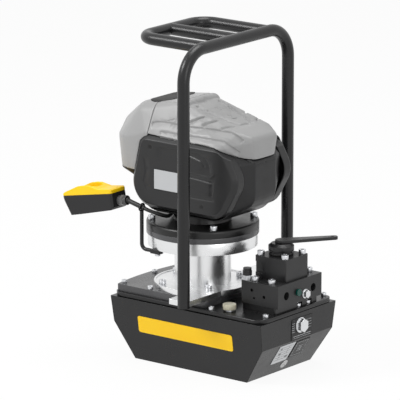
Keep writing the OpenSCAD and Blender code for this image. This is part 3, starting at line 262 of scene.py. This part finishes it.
# The cord's free lengths in millimetres, from the pendant to the coil and from the coil to the cowl
PENDANT_ROUTE = [[-99.5, -100.3, 284.5], [-92, -99.5, 282.4], [-83, -95.5, 279.2], [-76, -88, 275.2],
                 [-72.5, -78, 271], [-74, -66, 267.8], [-80, -51, 266.5], [-90, -33, 266.5],
                 [-101, -12, 266.5], [-111, 8, 266.5], [-120, 30, 266.5], [-131, 56, 264],
                 [-143, 82, 252], [-151, 104, 228], [-155, 118, 194], [-157, 126, 155],
                 [-157, 130, 112], [-156, 133, 70], [-153, 138, 34], [-143, 147, 12],
                 [-124, 156, 4], [-104, 168, 3.5]]
HOUSING_ROUTE = [[-40, 170, 17.5], [-49, 160, 21], [-63, 151, 25], [-84, 143, 26], [-106, 137, 32],
                 [-124, 132, 47], [-135, 128, 74], [-140, 126, 112], [-140, 124, 158],
                 [-139, 121, 200], [-136, 120, 228], [-128, 124, 250], [-117, 128, 269],
                 [-106, 128, 286], [-99, 121, 298], [-96, 109, 304], [-96, 92, 304]]
COIL_AT = (-60, 190)
COIL_RADII = (42, 35, 28)
COIL_LEVELS = (3.5, 10.5, 17.5)
TURN_POINTS = 16
LAST_TURN_POINTS = 10  # the cord leaves the coil part way round its last turn
CLIMB = 0.25  # part of a turn over which the cord goes up to the next layer


def coil_points():
    """The coil's turns, layer by layer, in and then out again, each layer ending where it goes up."""
    points = []
    for layer, z in enumerate(COIL_LEVELS):
        radii = COIL_RADII if layer % 2 == 0 else COIL_RADII[::-1]
        for ring, radius in enumerate(radii):
            ends_layer = ring == len(radii) - 1
            top = layer == len(COIL_LEVELS) - 1
            after = radius if ends_layer else radii[ring + 1]
            rise = CORD_D / MM if ends_layer and not top else 0
            for k in range(LAST_TURN_POINTS if ends_layer and top else TURN_POINTS):
                angle = math.pi - 2 * math.pi * k / TURN_POINTS
                climbed = max(0, k / TURN_POINTS - (1 - CLIMB)) / CLIMB
                r = radius + (after - radius) * k / TURN_POINTS
                points.append([COIL_AT[0] + r * math.cos(angle), COIL_AT[1] + r * math.sin(angle),
                               z + rise * climbed])
    return points


def curve_through(name, points, radius):
    """A round cord through points in millimetres, of a radius in metres."""
    data = bpy.data.curves.new(name, "CURVE")
    data.dimensions = "3D"
    data.resolution_u = 6
    data.bevel_depth = radius
    data.bevel_resolution = 4
    data.use_fill_caps = True
    line = data.splines.new("BEZIER")
    line.bezier_points.add(len(points) - 1)
    for p, at in zip(line.bezier_points, points):
        p.co = mm(*at)
        p.handle_left_type = p.handle_right_type = "AUTO"
    return add_object(name, data)


def make_cord():
    points = PENDANT_ROUTE + coil_points() + HOUSING_ROUTE
    cord = curve_through("cord", points, CORD_D / 2)
    paint(cord, "cord_rubber")
    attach(cord, "frame")
    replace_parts(cord, "pendant_cord", "cord_coil", "housing_cord")


make_cord()

# ---------- helpers for pieces ----------

BLOCK_EDGE = 0.15  # millimetres of chamfer on a small block
FLAT_ANGLE, SHARP_ANGLE = 1, 40  # degrees up to which faces merge, and from which an edge is rounded


def finished_mesh(obj):
    """The mesh that an object comes to with its modifiers, or a curve with its thickness."""
    return bpy.data.meshes.new_from_object(obj.evaluated_get(bpy.context.evaluated_depsgraph_get()))


def bake_modifiers(obj):
    """Puts the result of an object's modifiers into its own mesh."""
    done = finished_mesh(obj)
    obj.modifiers.clear()
    obj.data = done


def dress(obj, material, body="frame", smooth=True):
    """Gives a piece its material, its shading and the body that it rides on."""
    paint(obj, material)
    if smooth:
        obj.data.shade_smooth()
    else:
        obj.data.shade_flat()
    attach(obj, body)
    return obj


def rounded_outline(width, height, radius, steps=6):
    """A rectangle round the origin, with corners of a radius."""
    points = []
    for k, (sx, sy) in enumerate(((1, 1), (-1, 1), (-1, -1), (1, -1))):
        for i in range(steps + 1):
            angle = math.pi / 2 * (k + i / steps)
            points.append((sx * (width / 2 - radius) + radius * math.cos(angle),
                           sy * (height / 2 - radius) + radius * math.sin(angle)))
    return points


def plate_mesh(bm, outline, low, high, edge):
    """Adds a plate with a small chamfer round its face, in millimetres, to bm."""
    n = len(outline)
    cx = sum(p[0] for p in outline) / n
    cy = sum(p[1] for p in outline) / n

    def ring(inset, z):
        verts = []
        for x, y in outline:
            d = math.hypot(x - cx, y - cy)
            k = 1 - inset / d
            verts.append(bm.verts.new(mm(cx + (x - cx) * k, cy + (y - cy) * k, z)))
        return verts

    rings = [ring(0, low), ring(0, high - edge), ring(edge * 0.3, high - edge * 0.3), ring(edge, high)]
    for a, b in zip(rings, rings[1:]):
        for i in range(n):
            bm.faces.new((a[i], a[(i + 1) % n], b[(i + 1) % n], b[i]))
    bm.faces.new(rings[-1])
    bm.faces.new(rings[0][::-1])


def frame_mesh(bm, outer, inner, low, high):
    """Adds a flat frame between two outlines of as many points."""
    n = len(outer)
    rings = [[bm.verts.new(mm(x, y, z)) for x, y in line]
             for line, z in ((outer, low), (outer, high), (inner, high), (inner, low))]
    for k in range(4):
        a, b = rings[k], rings[(k + 1) % 4]
        for i in range(n):
            bm.faces.new((a[i], a[(i + 1) % n], b[(i + 1) % n], b[i]))


def from_bmesh(name, bm, at=(0, 0, 0), turn=(0, 0, 0)):
    """An object from bm, turned about X, Y and Z in degrees and moved to at in millimetres."""
    bmesh.ops.recalc_face_normals(bm, faces=bm.faces)
    mesh = bpy.data.meshes.new(name)
    bm.to_mesh(mesh)
    bm.free()
    obj = add_object(name, mesh)
    place = Matrix.Translation(mm(*at))
    for axis, angle in zip("ZYX", turn[::-1]):
        place = place @ Matrix.Rotation(math.radians(angle), 4, axis)
    mesh.transform(place)
    return obj


def block(bm, low, high):
    """Adds a box with corners low and high in millimetres to bm."""
    outline = [(low[0], low[1]), (high[0], low[1]), (high[0], high[1]), (low[0], high[1])]
    plate_mesh(bm, outline, low[2], high[2], BLOCK_EDGE)


def soften(obj, width=0.5):
    """Rounds an object's sharp edges with real bevels, width millimetres wide."""
    weld = obj.modifiers.new("weld", "WELD")
    weld.merge_threshold = MERGE
    flat = obj.modifiers.new("flat", "DECIMATE")
    flat.decimate_type = "DISSOLVE"
    flat.angle_limit = math.radians(FLAT_ANGLE)
    bevel = obj.modifiers.new("bevel", "BEVEL")
    bevel.width = width * MM
    bevel.segments = 2
    bevel.limit_method = "ANGLE"
    bevel.angle_limit = math.radians(SHARP_ANGLE)
    bevel.harden_normals = False


# ---------- shells, with their carving ----------

AXIS_Y = -10  # the cowl's plane of symmetry
SHELL_MIDDLE = (-20, AXIS_Y, 380)  # a point inside the cowl, from which its skin faces away
CARVE_REACH = 6  # millimetres round a channel in which the skin is looked at
STEP_EDGE = 1.5  # millimetres over which a step goes down
SHELL_VOXEL, LOWER_VOXEL = 1.3, 1.5  # millimetres between the points of a shell


def even_copy(node, name, voxel, smooth=2):
    """A copy of a CAD node as an even fine mesh, its sharp edges a little softened."""
    mesh = frame["nodes"][node].data.copy()
    obj = add_object(name, mesh)
    bm = bmesh.new()
    bm.from_mesh(mesh)
    bmesh.ops.remove_doubles(bm, verts=bm.verts, dist=MERGE)
    bm.to_mesh(mesh)
    bm.free()
    remesh = obj.modifiers.new("even", "REMESH")
    remesh.mode = "VOXEL"
    remesh.voxel_size = voxel * MM
    relax = obj.modifiers.new("soften", "SMOOTH")
    relax.factor = 0.5
    relax.iterations = smooth
    bake_modifiers(obj)
    return obj


def read_vectors(collection, name):
    """A named vector of each vertex or normal of a mesh, as rows."""
    values = np.empty(len(collection) * 3, dtype=np.float32)
    collection.foreach_get(name, values)
    return values.reshape(-1, 3).astype(float)


def mirrored(path):
    """A path's twin on the cowl's other side."""
    return [(x, 2 * AXIS_Y - y, z) for x, y, z in path]


def place_on_path(points, normals, path):
    """How points lie to a path: how far off, across, along (as a share) and past it, and its length."""
    best = np.full(len(points), np.inf)
    across, along, past = (np.zeros(len(points)) for _ in range(3))
    lengths = np.linalg.norm(np.diff(path, axis=0), axis=1)
    for k, length in enumerate(lengths):
        start = path[k]
        direction = (path[k + 1] - start) / length
        reach = (points - start) @ direction
        held = np.clip(reach, 0, length)
        off = points - start - held[:, None] * direction
        distance = np.linalg.norm(off, axis=1)
        nearer = distance < best
        best[nearer] = distance[nearer]
        across[nearer] = (off * np.cross(normals, direction)).sum(1)[nearer]
        along[nearer] = ((lengths[:k].sum() + held) / lengths.sum())[nearer]
        past[nearer] = np.abs(reach - held)[nearer]
    return best, across, along, past, lengths.sum()


def carve(obj, path, width, depth, side=0, mirror=True, ends=3):
    """Presses a channel of half-width width and of depth into a shell along path, in millimetres.

    width may be a pair, at the path's start and end. With side 1 or -1 it is a step instead: sharp along
    the path, fading out to its left or right seen from outside. A negative depth raises it. It fades out
    over ends at either end.
    """
    wide = width if isinstance(width, tuple) else (width, width)
    lines = [(path, side), (mirrored(path), -side)] if mirror else [(path, side)]
    mesh = obj.data
    co = read_vectors(mesh.vertices, "co") / MM
    normals = read_vectors(mesh.vertex_normals, "vector")
    normals *= np.sign(((co - np.array(SHELL_MIDDLE)) * normals).sum(1))[:, None]
    move = np.zeros(len(co))
    for line, way in lines:
        points = np.array(line, dtype=float)
        low, high = points.min(0) - max(wide) - CARVE_REACH, points.max(0) + max(wide) + CARVE_REACH
        near = np.where(((co > low) & (co < high)).all(1))[0]
        best, across, along, past, total = place_on_path(co[near], normals[near], points)
        half = wide[0] + (wide[1] - wide[0]) * along
        fade = np.clip(1 - past / ends, 0, 1) * (best < half + CARVE_REACH)
        if way:
            beside = across * way
            shape = np.clip(beside / STEP_EDGE, 0, 1) * np.clip(1 - beside / half, 0, 1)
            shape *= np.clip(np.minimum(along, 1 - along) * total / ends, 0, 1)
        else:
            shape = 0.5 + 0.5 * np.cos(np.pi * np.clip(np.abs(across) / half, 0, 1))
        move[near] -= depth * shape * fade
    co += normals * move[:, None]
    mesh.vertices.foreach_set("co", (co * MM).astype(np.float32).ravel())
    mesh.update()


def thin(obj, ratio):
    """Leaves about a share of an object's faces, where they tell the least."""
    reduce = obj.modifiers.new("reduce", "DECIMATE")
    reduce.ratio = ratio
    bake_modifiers(obj)


def replace_shell(obj, node, material, body="frame"):
    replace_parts(dress(obj, material, body), node)


def make_top_shell():
    """The cowl's grey top, with the relief on its slope and flanks."""
    top = even_copy("cowl_top", "cowl_top_shell", SHELL_VOXEL)
    crest = [(-31, -41, 471), (-14, -43, 466), (-1, -40, 462), (13, -37, 459), (36, -34, 452), (60, -27, 446)]
    carve(top, crest, 11, 4.2, 1, mirror=False)
    carve(top, [(x, y + 6, z) for x, y, z in mirrored(crest)], 11, 4.2, -1, mirror=False)

    carve(top, [(-63, -79, 446), (-51, -77, 450)], (1.5, 2.5), 1.6)
    for wedge, widths, depth in (([(-16, -73, 449), (-6, -66, 454), (3, -58, 459)], (6, 2.5), 4),
                                 ([(12, -72, 447), (20, -60, 450), (27, -50, 452)], (6, 2.5), 4),
                                 ([(46, -62, 444), (52, -51, 444), (57, -43, 444)], (5.5, 2), 3.6)):
        carve(top, wedge, widths, depth)

    upper_terrace = [(-98, -81, 441), (-80, -80, 444), (-57, -80, 445), (-36, -78, 443), (-16, -77, 443),
                     (4, -75, 444), (24, -71, 444), (44, -65, 443), (64, -59, 442), (80, -57, 435),
                     (90, -54, 428)]
    lower_terrace = [(-75, -87, 428), (-42, -85, 428), (-10, -84, 428), (32, -82, 429), (60, -74, 427),
                     (75, -71, 418), (87, -60, 407)]
    carve(top, upper_terrace, 14, 3.6, -1)
    carve(top, lower_terrace, 10, 2.8, -1)

    for start, end in (((-10, -8, 465), (-1, -4, 462)), ((-10, -33, 465), (0, -29, 462)),
                       ((20, -11, 456), (26, -8, 455)), ((33, -14, 452), (35, -4, 452))):
        carve(top, [start, end], 2.2, 2.4, mirror=False, ends=1.5)
    carve(top, [(60, -30, 445), (54, -22, 446), (56, -6, 446), (60, 1, 445)], 9, 2.4, -1, mirror=False)
    carve(top, [(-30, 18, 471), (3, 14, 461), (33, 16, 453)], 5, -0.5, mirror=False)
    carve(top, [(-41, -24, 476), (-34, -14, 472)], 9, 1.5)
    thin(top, 0.4)
    replace_shell(top, "cowl_top", "grey_moulding")


def make_hood_shell():
    hood = even_copy("battery_hood", "battery_hood_shell", SHELL_VOXEL)
    thin(hood, 0.3)
    replace_shell(hood, "battery_hood", "grey_moulding", "hood")


def make_panel_shell(node, y, out):
    """A side panel, its recesses cut at y millimetres; out is 1 if it faces -Y and -1 if it faces +Y."""
    panel = even_copy(node, node + "_shell", SHELL_VOXEL)

    def cut(path, width, depth, side=0, ends=3):
        carve(panel, [(x, y, z) for x, z in path], width, depth, side, mirror=False, ends=ends)

    cut([(-78, 400), (-30, 402), (20, 400), (36, 394), (42, 386), (47, 366)], 26, 2.4, -out, 12)
    cut([(-9, 396), (7, 393), (22, 389), (31, 380)], 3, 1.4)
    cut([(-12, 364), (20, 362), (44, 360), (52, 366)], 3.2, -0.9)
    cut([(-12, 357), (20, 355), (46, 353)], 4, 1.6)
    cut([(50, 358), (51, 340), (50, 325)], 9, 1.8, -out)
    cut([(-12, 320), (22, 319.5), (50, 320)], 3, 1.3)
    cut([(-107, 378), (-103, 352), (-108, 332), (-98, 316)], 12, 1.8, out, 8)
    thin(panel, 0.4)
    replace_shell(panel, node, "panel_moulding")


def make_lower_shell():
    lower = even_copy("cowl_lower", "cowl_lower_shell", LOWER_VOXEL)
    carve(lower, [(80, -56, 395), (92, -48, 389), (103, -40, 383), (104, -10, 383)], 1.8, 1.4)
    thin(lower, 0.35)
    replace_shell(lower, "cowl_lower", "black_moulding")


make_top_shell()
make_hood_shell()
make_panel_shell("front_panel", -95, 1)
make_panel_shell("rear_panel", 75, -1)
make_lower_shell()

# ---------- badge, plates and labels, all blank ----------

TANK_L, TANK_W, TANK_H = 340, 222, 114.5
FLOOR_L, FLOOR_W, KINK_L, KINK_Z = 254, 188, 336, 66
FRONT_LEAN = math.atan((TANK_W - FLOOR_W) / 2 / TANK_H)
END_LEAN = math.atan((TANK_L - KINK_L) / 2 / (TANK_H - KINK_Z))
END_SLOPE = math.atan((KINK_L - FLOOR_L) / 2 / KINK_Z)
PLATE_T = 0.9
SEAM_R, SEAM_SUNK = 0.8, 0.4
RULE_LOW, RULE_HIGH = 0.85, 0.95  # from where to where a rule stands above its wall


def label(name, at, turn, size, radius, material, hole=None, shift=(0, 0)):
    """A blank plate standing off its wall by its thickness, with a round hole (x, y, radius) if given."""
    bm = bmesh.new()
    outline = [(x + shift[0], y + shift[1]) for x, y in rounded_outline(*size, radius)]
    if hole:
        hole_x, hole_y, hole_r = hole
        around = []
        for x, y in outline:
            angle = math.atan2(y - hole_y, x - hole_x)
            around.append((hole_x + hole_r * math.cos(angle), hole_y + hole_r * math.sin(angle)))
        frame_mesh(bm, outline, around, 0, PLATE_T)
    else:
        plate_mesh(bm, outline, 0, PLATE_T, 0.25)
    return dress(from_bmesh(name, bm, at, turn), material, smooth=False)


def rules(name, at, turn, bars, material):
    """Thin raised rules on a plate, each (x, y, width, height) in the plate's own millimetres."""
    bm = bmesh.new()
    for x, y, w, h in bars:
        block(bm, (x - w / 2, y - h / 2, RULE_LOW), (x + w / 2, y + h / 2, RULE_HIGH))
    return dress(from_bmesh(name, bm, at, turn), material, smooth=False)


def make_front_plate():
    """The tank's yellow plate, left bare."""
    middle_z = 70
    at = (-4, -FLOOR_W / 2 - middle_z * math.tan(FRONT_LEAN), middle_z)
    front = label("front_plate", at, (90 + math.degrees(FRONT_LEAN), 0, 0), (214, 31), 4,
                  "plate_yellow")
    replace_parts(front, "name_plates")


def make_upper_end_plate():
    """The dark plate round the end plug, with plain rules in place of words."""
    middle_z = 86
    at = (KINK_L / 2 + (middle_z - KINK_Z) * math.tan(END_LEAN), 12, middle_z)
    turn = (90 + math.degrees(END_LEAN), 0, 90)
    label("end_plate_upper", at, turn, (62, 40), 2, "black_moulding", (-6, 6, 15))
    left = [(-26, y, 8, 0.8) for y in (12, 8, 4, 0, -4)]
    right = [(18, y, 18, 0.5) for y in (12, 7, 2, -3)]
    under = [(0, -13, 52, 0.8), (0, -16.5, 52, 0.5)]
    rules("end_plate_upper_rules", at, turn, left + under + right, "label_silver")


def make_lower_end_plates():
    """The pale and the dark plate on the sloping end, with plain rules, and a bare disc under them."""
    middle_z = 42
    at = (FLOOR_L / 2 + middle_z * math.tan(END_SLOPE), 0, middle_z)
    turn = (90 + math.degrees(END_SLOPE), 0, 90)

    label("data_plate", at, turn, (46, 44), 1.5, "label_silver", shift=(-24, 2))
    lines = [(-24, y, 38, 0.6) for y in (18, 12, 6, 0, -6, -12)]
    uprights = [(-33, -3, 0.6, 18), (-15, 9, 0.6, 18)]
    fields = [(-38, 15, 5, 3), (-36, 3, 7, 3), (-10, -9, 9, 3)]
    rules("data_plate_rules", at, turn, lines + uprights + fields, "black_moulding")

    label("end_plate_lower", at, turn, (40, 40), 1.5, "black_moulding", shift=(24, 2))
    border = [(24, y, 32, 0.5) for y in (18, -14)] + [(x, 2, 0.5, 32) for x in (8, 40)]
    inner = [(24, y, 12, 0.8) for y in (8, 4, 0, -4)]
    rules("end_plate_lower_rules", at, turn, border + inner, "label_silver")

    bm = bmesh.new()
    disc_x, disc_y, disc_r, steps = 2, -32, 9, 48
    angles = [k * 2 * math.pi / steps for k in range(steps)]
    plate_mesh(bm, [(disc_x + disc_r * math.cos(a), disc_y + disc_r * math.sin(a)) for a in angles],
               0, PLATE_T, 0.2)
    dress(from_bmesh("end_disc", bm, at, turn), "label_white", smooth=False)


def make_badge():
    """The bare plate on the front panel, in a thin raised frame."""
    at, turn = (-48.5, -95, 341), (90, 0, 0)
    inner, outer = rounded_outline(66, 36, 1.2), rounded_outline(69, 39, 2)
    bm = bmesh.new()
    plate_mesh(bm, inner, 0, 0.7, 0.2)
    dress(from_bmesh("badge", bm, at, turn), "label_silver", smooth=False)
    bm = bmesh.new()
    frame_mesh(bm, outer, inner, 0, PLATE_T)
    dress(from_bmesh("badge_frame", bm, at, turn), "black_moulding", smooth=False)


def make_seam(name, sx, sy):
    """The welded seam up one corner of the tank, on the side sx along X and sy along Y."""
    data = bpy.data.curves.new("seam", "CURVE")
    data.dimensions = "3D"
    data.bevel_depth = SEAM_R * MM
    data.bevel_resolution = 2
    line = data.splines.new("POLY")
    corners = ((SEAM_R, FLOOR_L / 2), (KINK_Z, KINK_L / 2), (TANK_H - SEAM_R, TANK_L / 2))
    line.points.add(len(corners) - 1)
    for point, (z, x) in zip(line.points, corners):
        y = FLOOR_W / 2 + (TANK_W - FLOOR_W) / 2 * z / TANK_H
        point.co = (*mm(sx * (x - SEAM_SUNK), sy * (y - SEAM_SUNK), z), 1)
    curve = add_object("seam", data)
    mesh = finished_mesh(curve)
    bpy.data.objects.remove(curve)
    dress(add_object(name, mesh), "gasket_rubber")


def make_tank_seams():
    for sx, side in ((-1, "l"), (1, "r")):
        for sy, face in ((-1, "f"), (1, "b")):
            make_seam("tank_seam_" + side + "_" + face, sx, sy)


def lathe(bm, profile, steps=40):
    """Adds a closed ring turned about Z from a closed profile of (radius, height)."""
    rings = []
    for k in range(steps):
        angle = 2 * math.pi * k / steps
        rings.append([bm.verts.new(mm(r * math.cos(angle), r * math.sin(angle), z)) for r, z in profile])
    n = len(profile)
    for k in range(steps):
        a, b = rings[k], rings[(k + 1) % steps]
        for i in range(n):
            bm.faces.new((a[i], b[i], b[(i + 1) % n], a[(i + 1) % n]))


def rib(radius, z, half, rise, sunk=0.4):
    """Profile of one rounded rib standing rise out of a cylinder of that radius, its foot sunk into it."""
    waist, bulge = half * 0.7, radius + rise * 0.6
    return [(radius - sunk, z - half), (bulge, z - waist), (radius + rise, z), (bulge, z + waist),
            (radius - sunk, z + half)]


PENDANT_AT, PENDANT_PITCH = (-159.3, -100.3, 306.2), 10.5
GLAND_R, GLAND_Z = 8, -16
GLAND_RIBS_AT = (13.4, 15.4, 17.4)  # along the gland, from the pendant's end


def make_pendant_shells():
    for node, voxel, material in (("pendant_cover", 0.8, "pendant_yellow"),
                                  ("pendant_body", 0.9, "black_moulding")):
        shell = even_copy(node, node + "_shell", voxel, 4)
        thin(shell, 0.5)
        replace_shell(shell, node, material)


def make_gland_ribs():
    bm = bmesh.new()
    for z in GLAND_RIBS_AT:
        lathe(bm, rib(GLAND_R, z, 0.8, 0.9))
    ribs = from_bmesh("gland_ribs", bm)
    pitch = Matrix.Rotation(math.radians(-PENDANT_PITCH), 4, "Y")
    lay_down = Matrix.Rotation(math.radians(90), 4, "Y")
    ribs.data.transform(Matrix.Translation(mm(*PENDANT_AT)) @ pitch @ Matrix.Translation(mm(0, 0, GLAND_Z))
                        @ lay_down)
    dress(ribs, "gland_grey")


def middle_of(bm):
    return tuple(round(sum(v.co[i] for v in bm.verts) / len(bm.verts), 4) for i in range(3))


def loose_copies(node, name):
    """Each separate solid of a CAD node as an object of its own, in the order of their middles."""
    whole = bmesh.new()
    whole.from_mesh(frame["nodes"][node].data)
    bmesh.ops.remove_doubles(whole, verts=whole.verts, dist=MERGE)
    solid_of = {}
    solids = []
    for start in whole.verts:
        if start in solid_of:
            continue
        solids.append(bmesh.new())
        solid_of[start] = len(solids) - 1
        reached = [start]  # grows while it is read
        for v in reached:
            for edge in v.link_edges:
                other = edge.other_vert(v)
                if other not in solid_of:
                    solid_of[other] = len(solids) - 1
                    reached.append(other)
    twin = {v: solids[solid_of[v]].verts.new(v.co) for v in whole.verts}
    for face in whole.faces:
        solids[solid_of[face.verts[0]]].faces.new([twin[v] for v in face.verts])
    whole.free()
    solids.sort(key=middle_of)
    return [from_bmesh(name + "_" + str(k), solid) for k, solid in enumerate(solids)]


def make_plugs():
    """The plugs in the manifold and the tank's end; the smallest is anodised."""
    plugs = loose_copies("port_plugs", "port_plug")
    smallest = min(plugs, key=lambda plug: max(plug.dimensions))
    for plug in plugs:
        dress(plug, "gauge_teal" if plug is smallest else "plug_finish", smooth=False)
        soften(plug)
    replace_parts(plugs[0], "port_plugs")


VENT_COUNT, VENT_PITCH, VENT_X = 14, 3.4, -96
VENT_LOW, VENT_HIGH = 274.6, 278.2


def make_vents():
    """The row of small vent slats under the front panel and the same at the back."""
    for name, y in (("vent_slats_front", -69), ("vent_slats_back", 49)):
        bm = bmesh.new()
        for k in range(VENT_COUNT):
            x = VENT_X + VENT_PITCH * k
            block(bm, (x - 0.9, y - 1, VENT_LOW), (x + 0.9, y + 1, VENT_HIGH))
        dress(from_bmesh(name, bm), "gasket_rubber", smooth=False)


# The bevel on the sharp edges of each CAD node that shows, in millimetres
BEVELLED = {"tank": 0.8, "deck_cover": 0.6, "riser_plate": 0.8, "cage_bracket": 1.0, "motor_flange": 0.8,
            "adapter_ring": 0.8, "manifold": 0.7, "valve_block": 0.7, "manifold_pedestal": 0.7,
            "motor_foot": 0.8, "valve_knob": 0.6, "valve_lever": 0.8, "filler_cap": 0.5, "hood_latch": 0.5,
            "m8_screws": 0.4, "m6_screws": 0.3, "flange_bolts": 0.4, "relief_valve": 0.4}

make_front_plate()
make_upper_end_plate()
make_lower_end_plates()
make_badge()
make_tank_seams()
make_pendant_shells()
make_gland_ribs()
make_plugs()
make_vents()
for name, width in BEVELLED.items():
    soften(frame["nodes"][name], width)

# ---------- light and floor ----------

ROOM_LIGHT = 0.42  # strength of the world where it lights the object
FLOOR_WHITE = 0.93  # share of pure white in the floor that is seen, the rest being its shaded colour
FLOOR_COLOR = (0.85, 0.85, 0.85, 1)
FLOOR_HALF, FLOOR_DROP = 6, 0.0005
AIM = (0, 0, 0.25)


def area_light(name, place, size, power):
    """A lamp of size metres and power watts at place, turned to the object's middle."""
    data = bpy.data.lights.new(name, "AREA")
    data.shape = "RECTANGLE"
    data.size, data.size_y = size
    data.energy = power
    lamp = add_object(name, data)
    lamp.location = place
    lamp.rotation_euler = (Vector(AIM) - Vector(place)).to_track_quat("-Z", "Y").to_euler()


def seen_rays(tree):
    """1 for what the camera sees, straight or in gloss or glass, and 0 for light on its way."""
    path = tree.nodes.new("ShaderNodeLightPath")
    total = path.outputs["Is Camera Ray"]
    for name in ("Is Glossy Ray", "Is Transmission Ray"):
        most = tree.nodes.new("ShaderNodeMath")
        most.operation = "MAXIMUM"
        tree.links.new(total, most.inputs[0])
        tree.links.new(path.outputs[name], most.inputs[1])
        total = most.outputs[0]
    return total


def make_world():
    """A world that is seen as white and lights the object a good deal less."""
    world = bpy.data.worlds.new("studio")
    bpy.context.scene.world = world
    world.use_nodes = True
    tree = world.node_tree
    tree.nodes.clear()
    out = tree.nodes.new("ShaderNodeOutputWorld")
    mix = tree.nodes.new("ShaderNodeMixShader")
    tree.links.new(seen_rays(tree), mix.inputs[0])
    for strength, socket in ((ROOM_LIGHT, mix.inputs[1]), (1, mix.inputs[2])):
        white = tree.nodes.new("ShaderNodeBackground")
        white.inputs["Color"].default_value = (1, 1, 1, 1)
        white.inputs["Strength"].default_value = strength
        tree.links.new(white.outputs[0], socket)
    tree.links.new(mix.outputs[0], out.inputs[0])


def make_floor():
    """A floor that is seen as almost white and keeps the object's shadow."""
    mesh = bpy.data.meshes.new("floor")
    corners = [(x * FLOOR_HALF, y * FLOOR_HALF, 0) for x, y in ((-1, -1), (1, -1), (1, 1), (-1, 1))]
    mesh.from_pydata(corners, [], [(0, 1, 2, 3)])
    floor = add_object("floor", mesh)
    floor.location.z = -FLOOR_DROP
    mat = bpy.data.materials.new("floor")
    mat.use_nodes = True
    tree = mat.node_tree
    tree.nodes.clear()
    out = tree.nodes.new("ShaderNodeOutputMaterial")
    mix = tree.nodes.new("ShaderNodeMixShader")
    diffuse = tree.nodes.new("ShaderNodeBsdfDiffuse")
    diffuse.inputs["Color"].default_value = FLOOR_COLOR
    glow = tree.nodes.new("ShaderNodeEmission")
    seen = tree.nodes.new("ShaderNodeMath")
    seen.operation = "MULTIPLY"
    seen.inputs[1].default_value = FLOOR_WHITE
    tree.links.new(seen_rays(tree), seen.inputs[0])
    tree.links.new(seen.outputs[0], mix.inputs[0])
    tree.links.new(diffuse.outputs[0], mix.inputs[1])
    tree.links.new(glow.outputs[0], mix.inputs[2])
    tree.links.new(mix.outputs[0], out.inputs[0])
    mesh.materials.append(mat)


make_world()
make_floor()
area_light("key", (-1.6, -2.2, 2.6), (1.2, 1.2), 72)
area_light("fill", (2.6, -1.0, 1.2), (1.2, 1.8), 16)
area_light("top", (0, 0.4, 3.0), (1.6, 1.6), 42)
bpy.context.scene.view_settings.view_transform = "Standard"
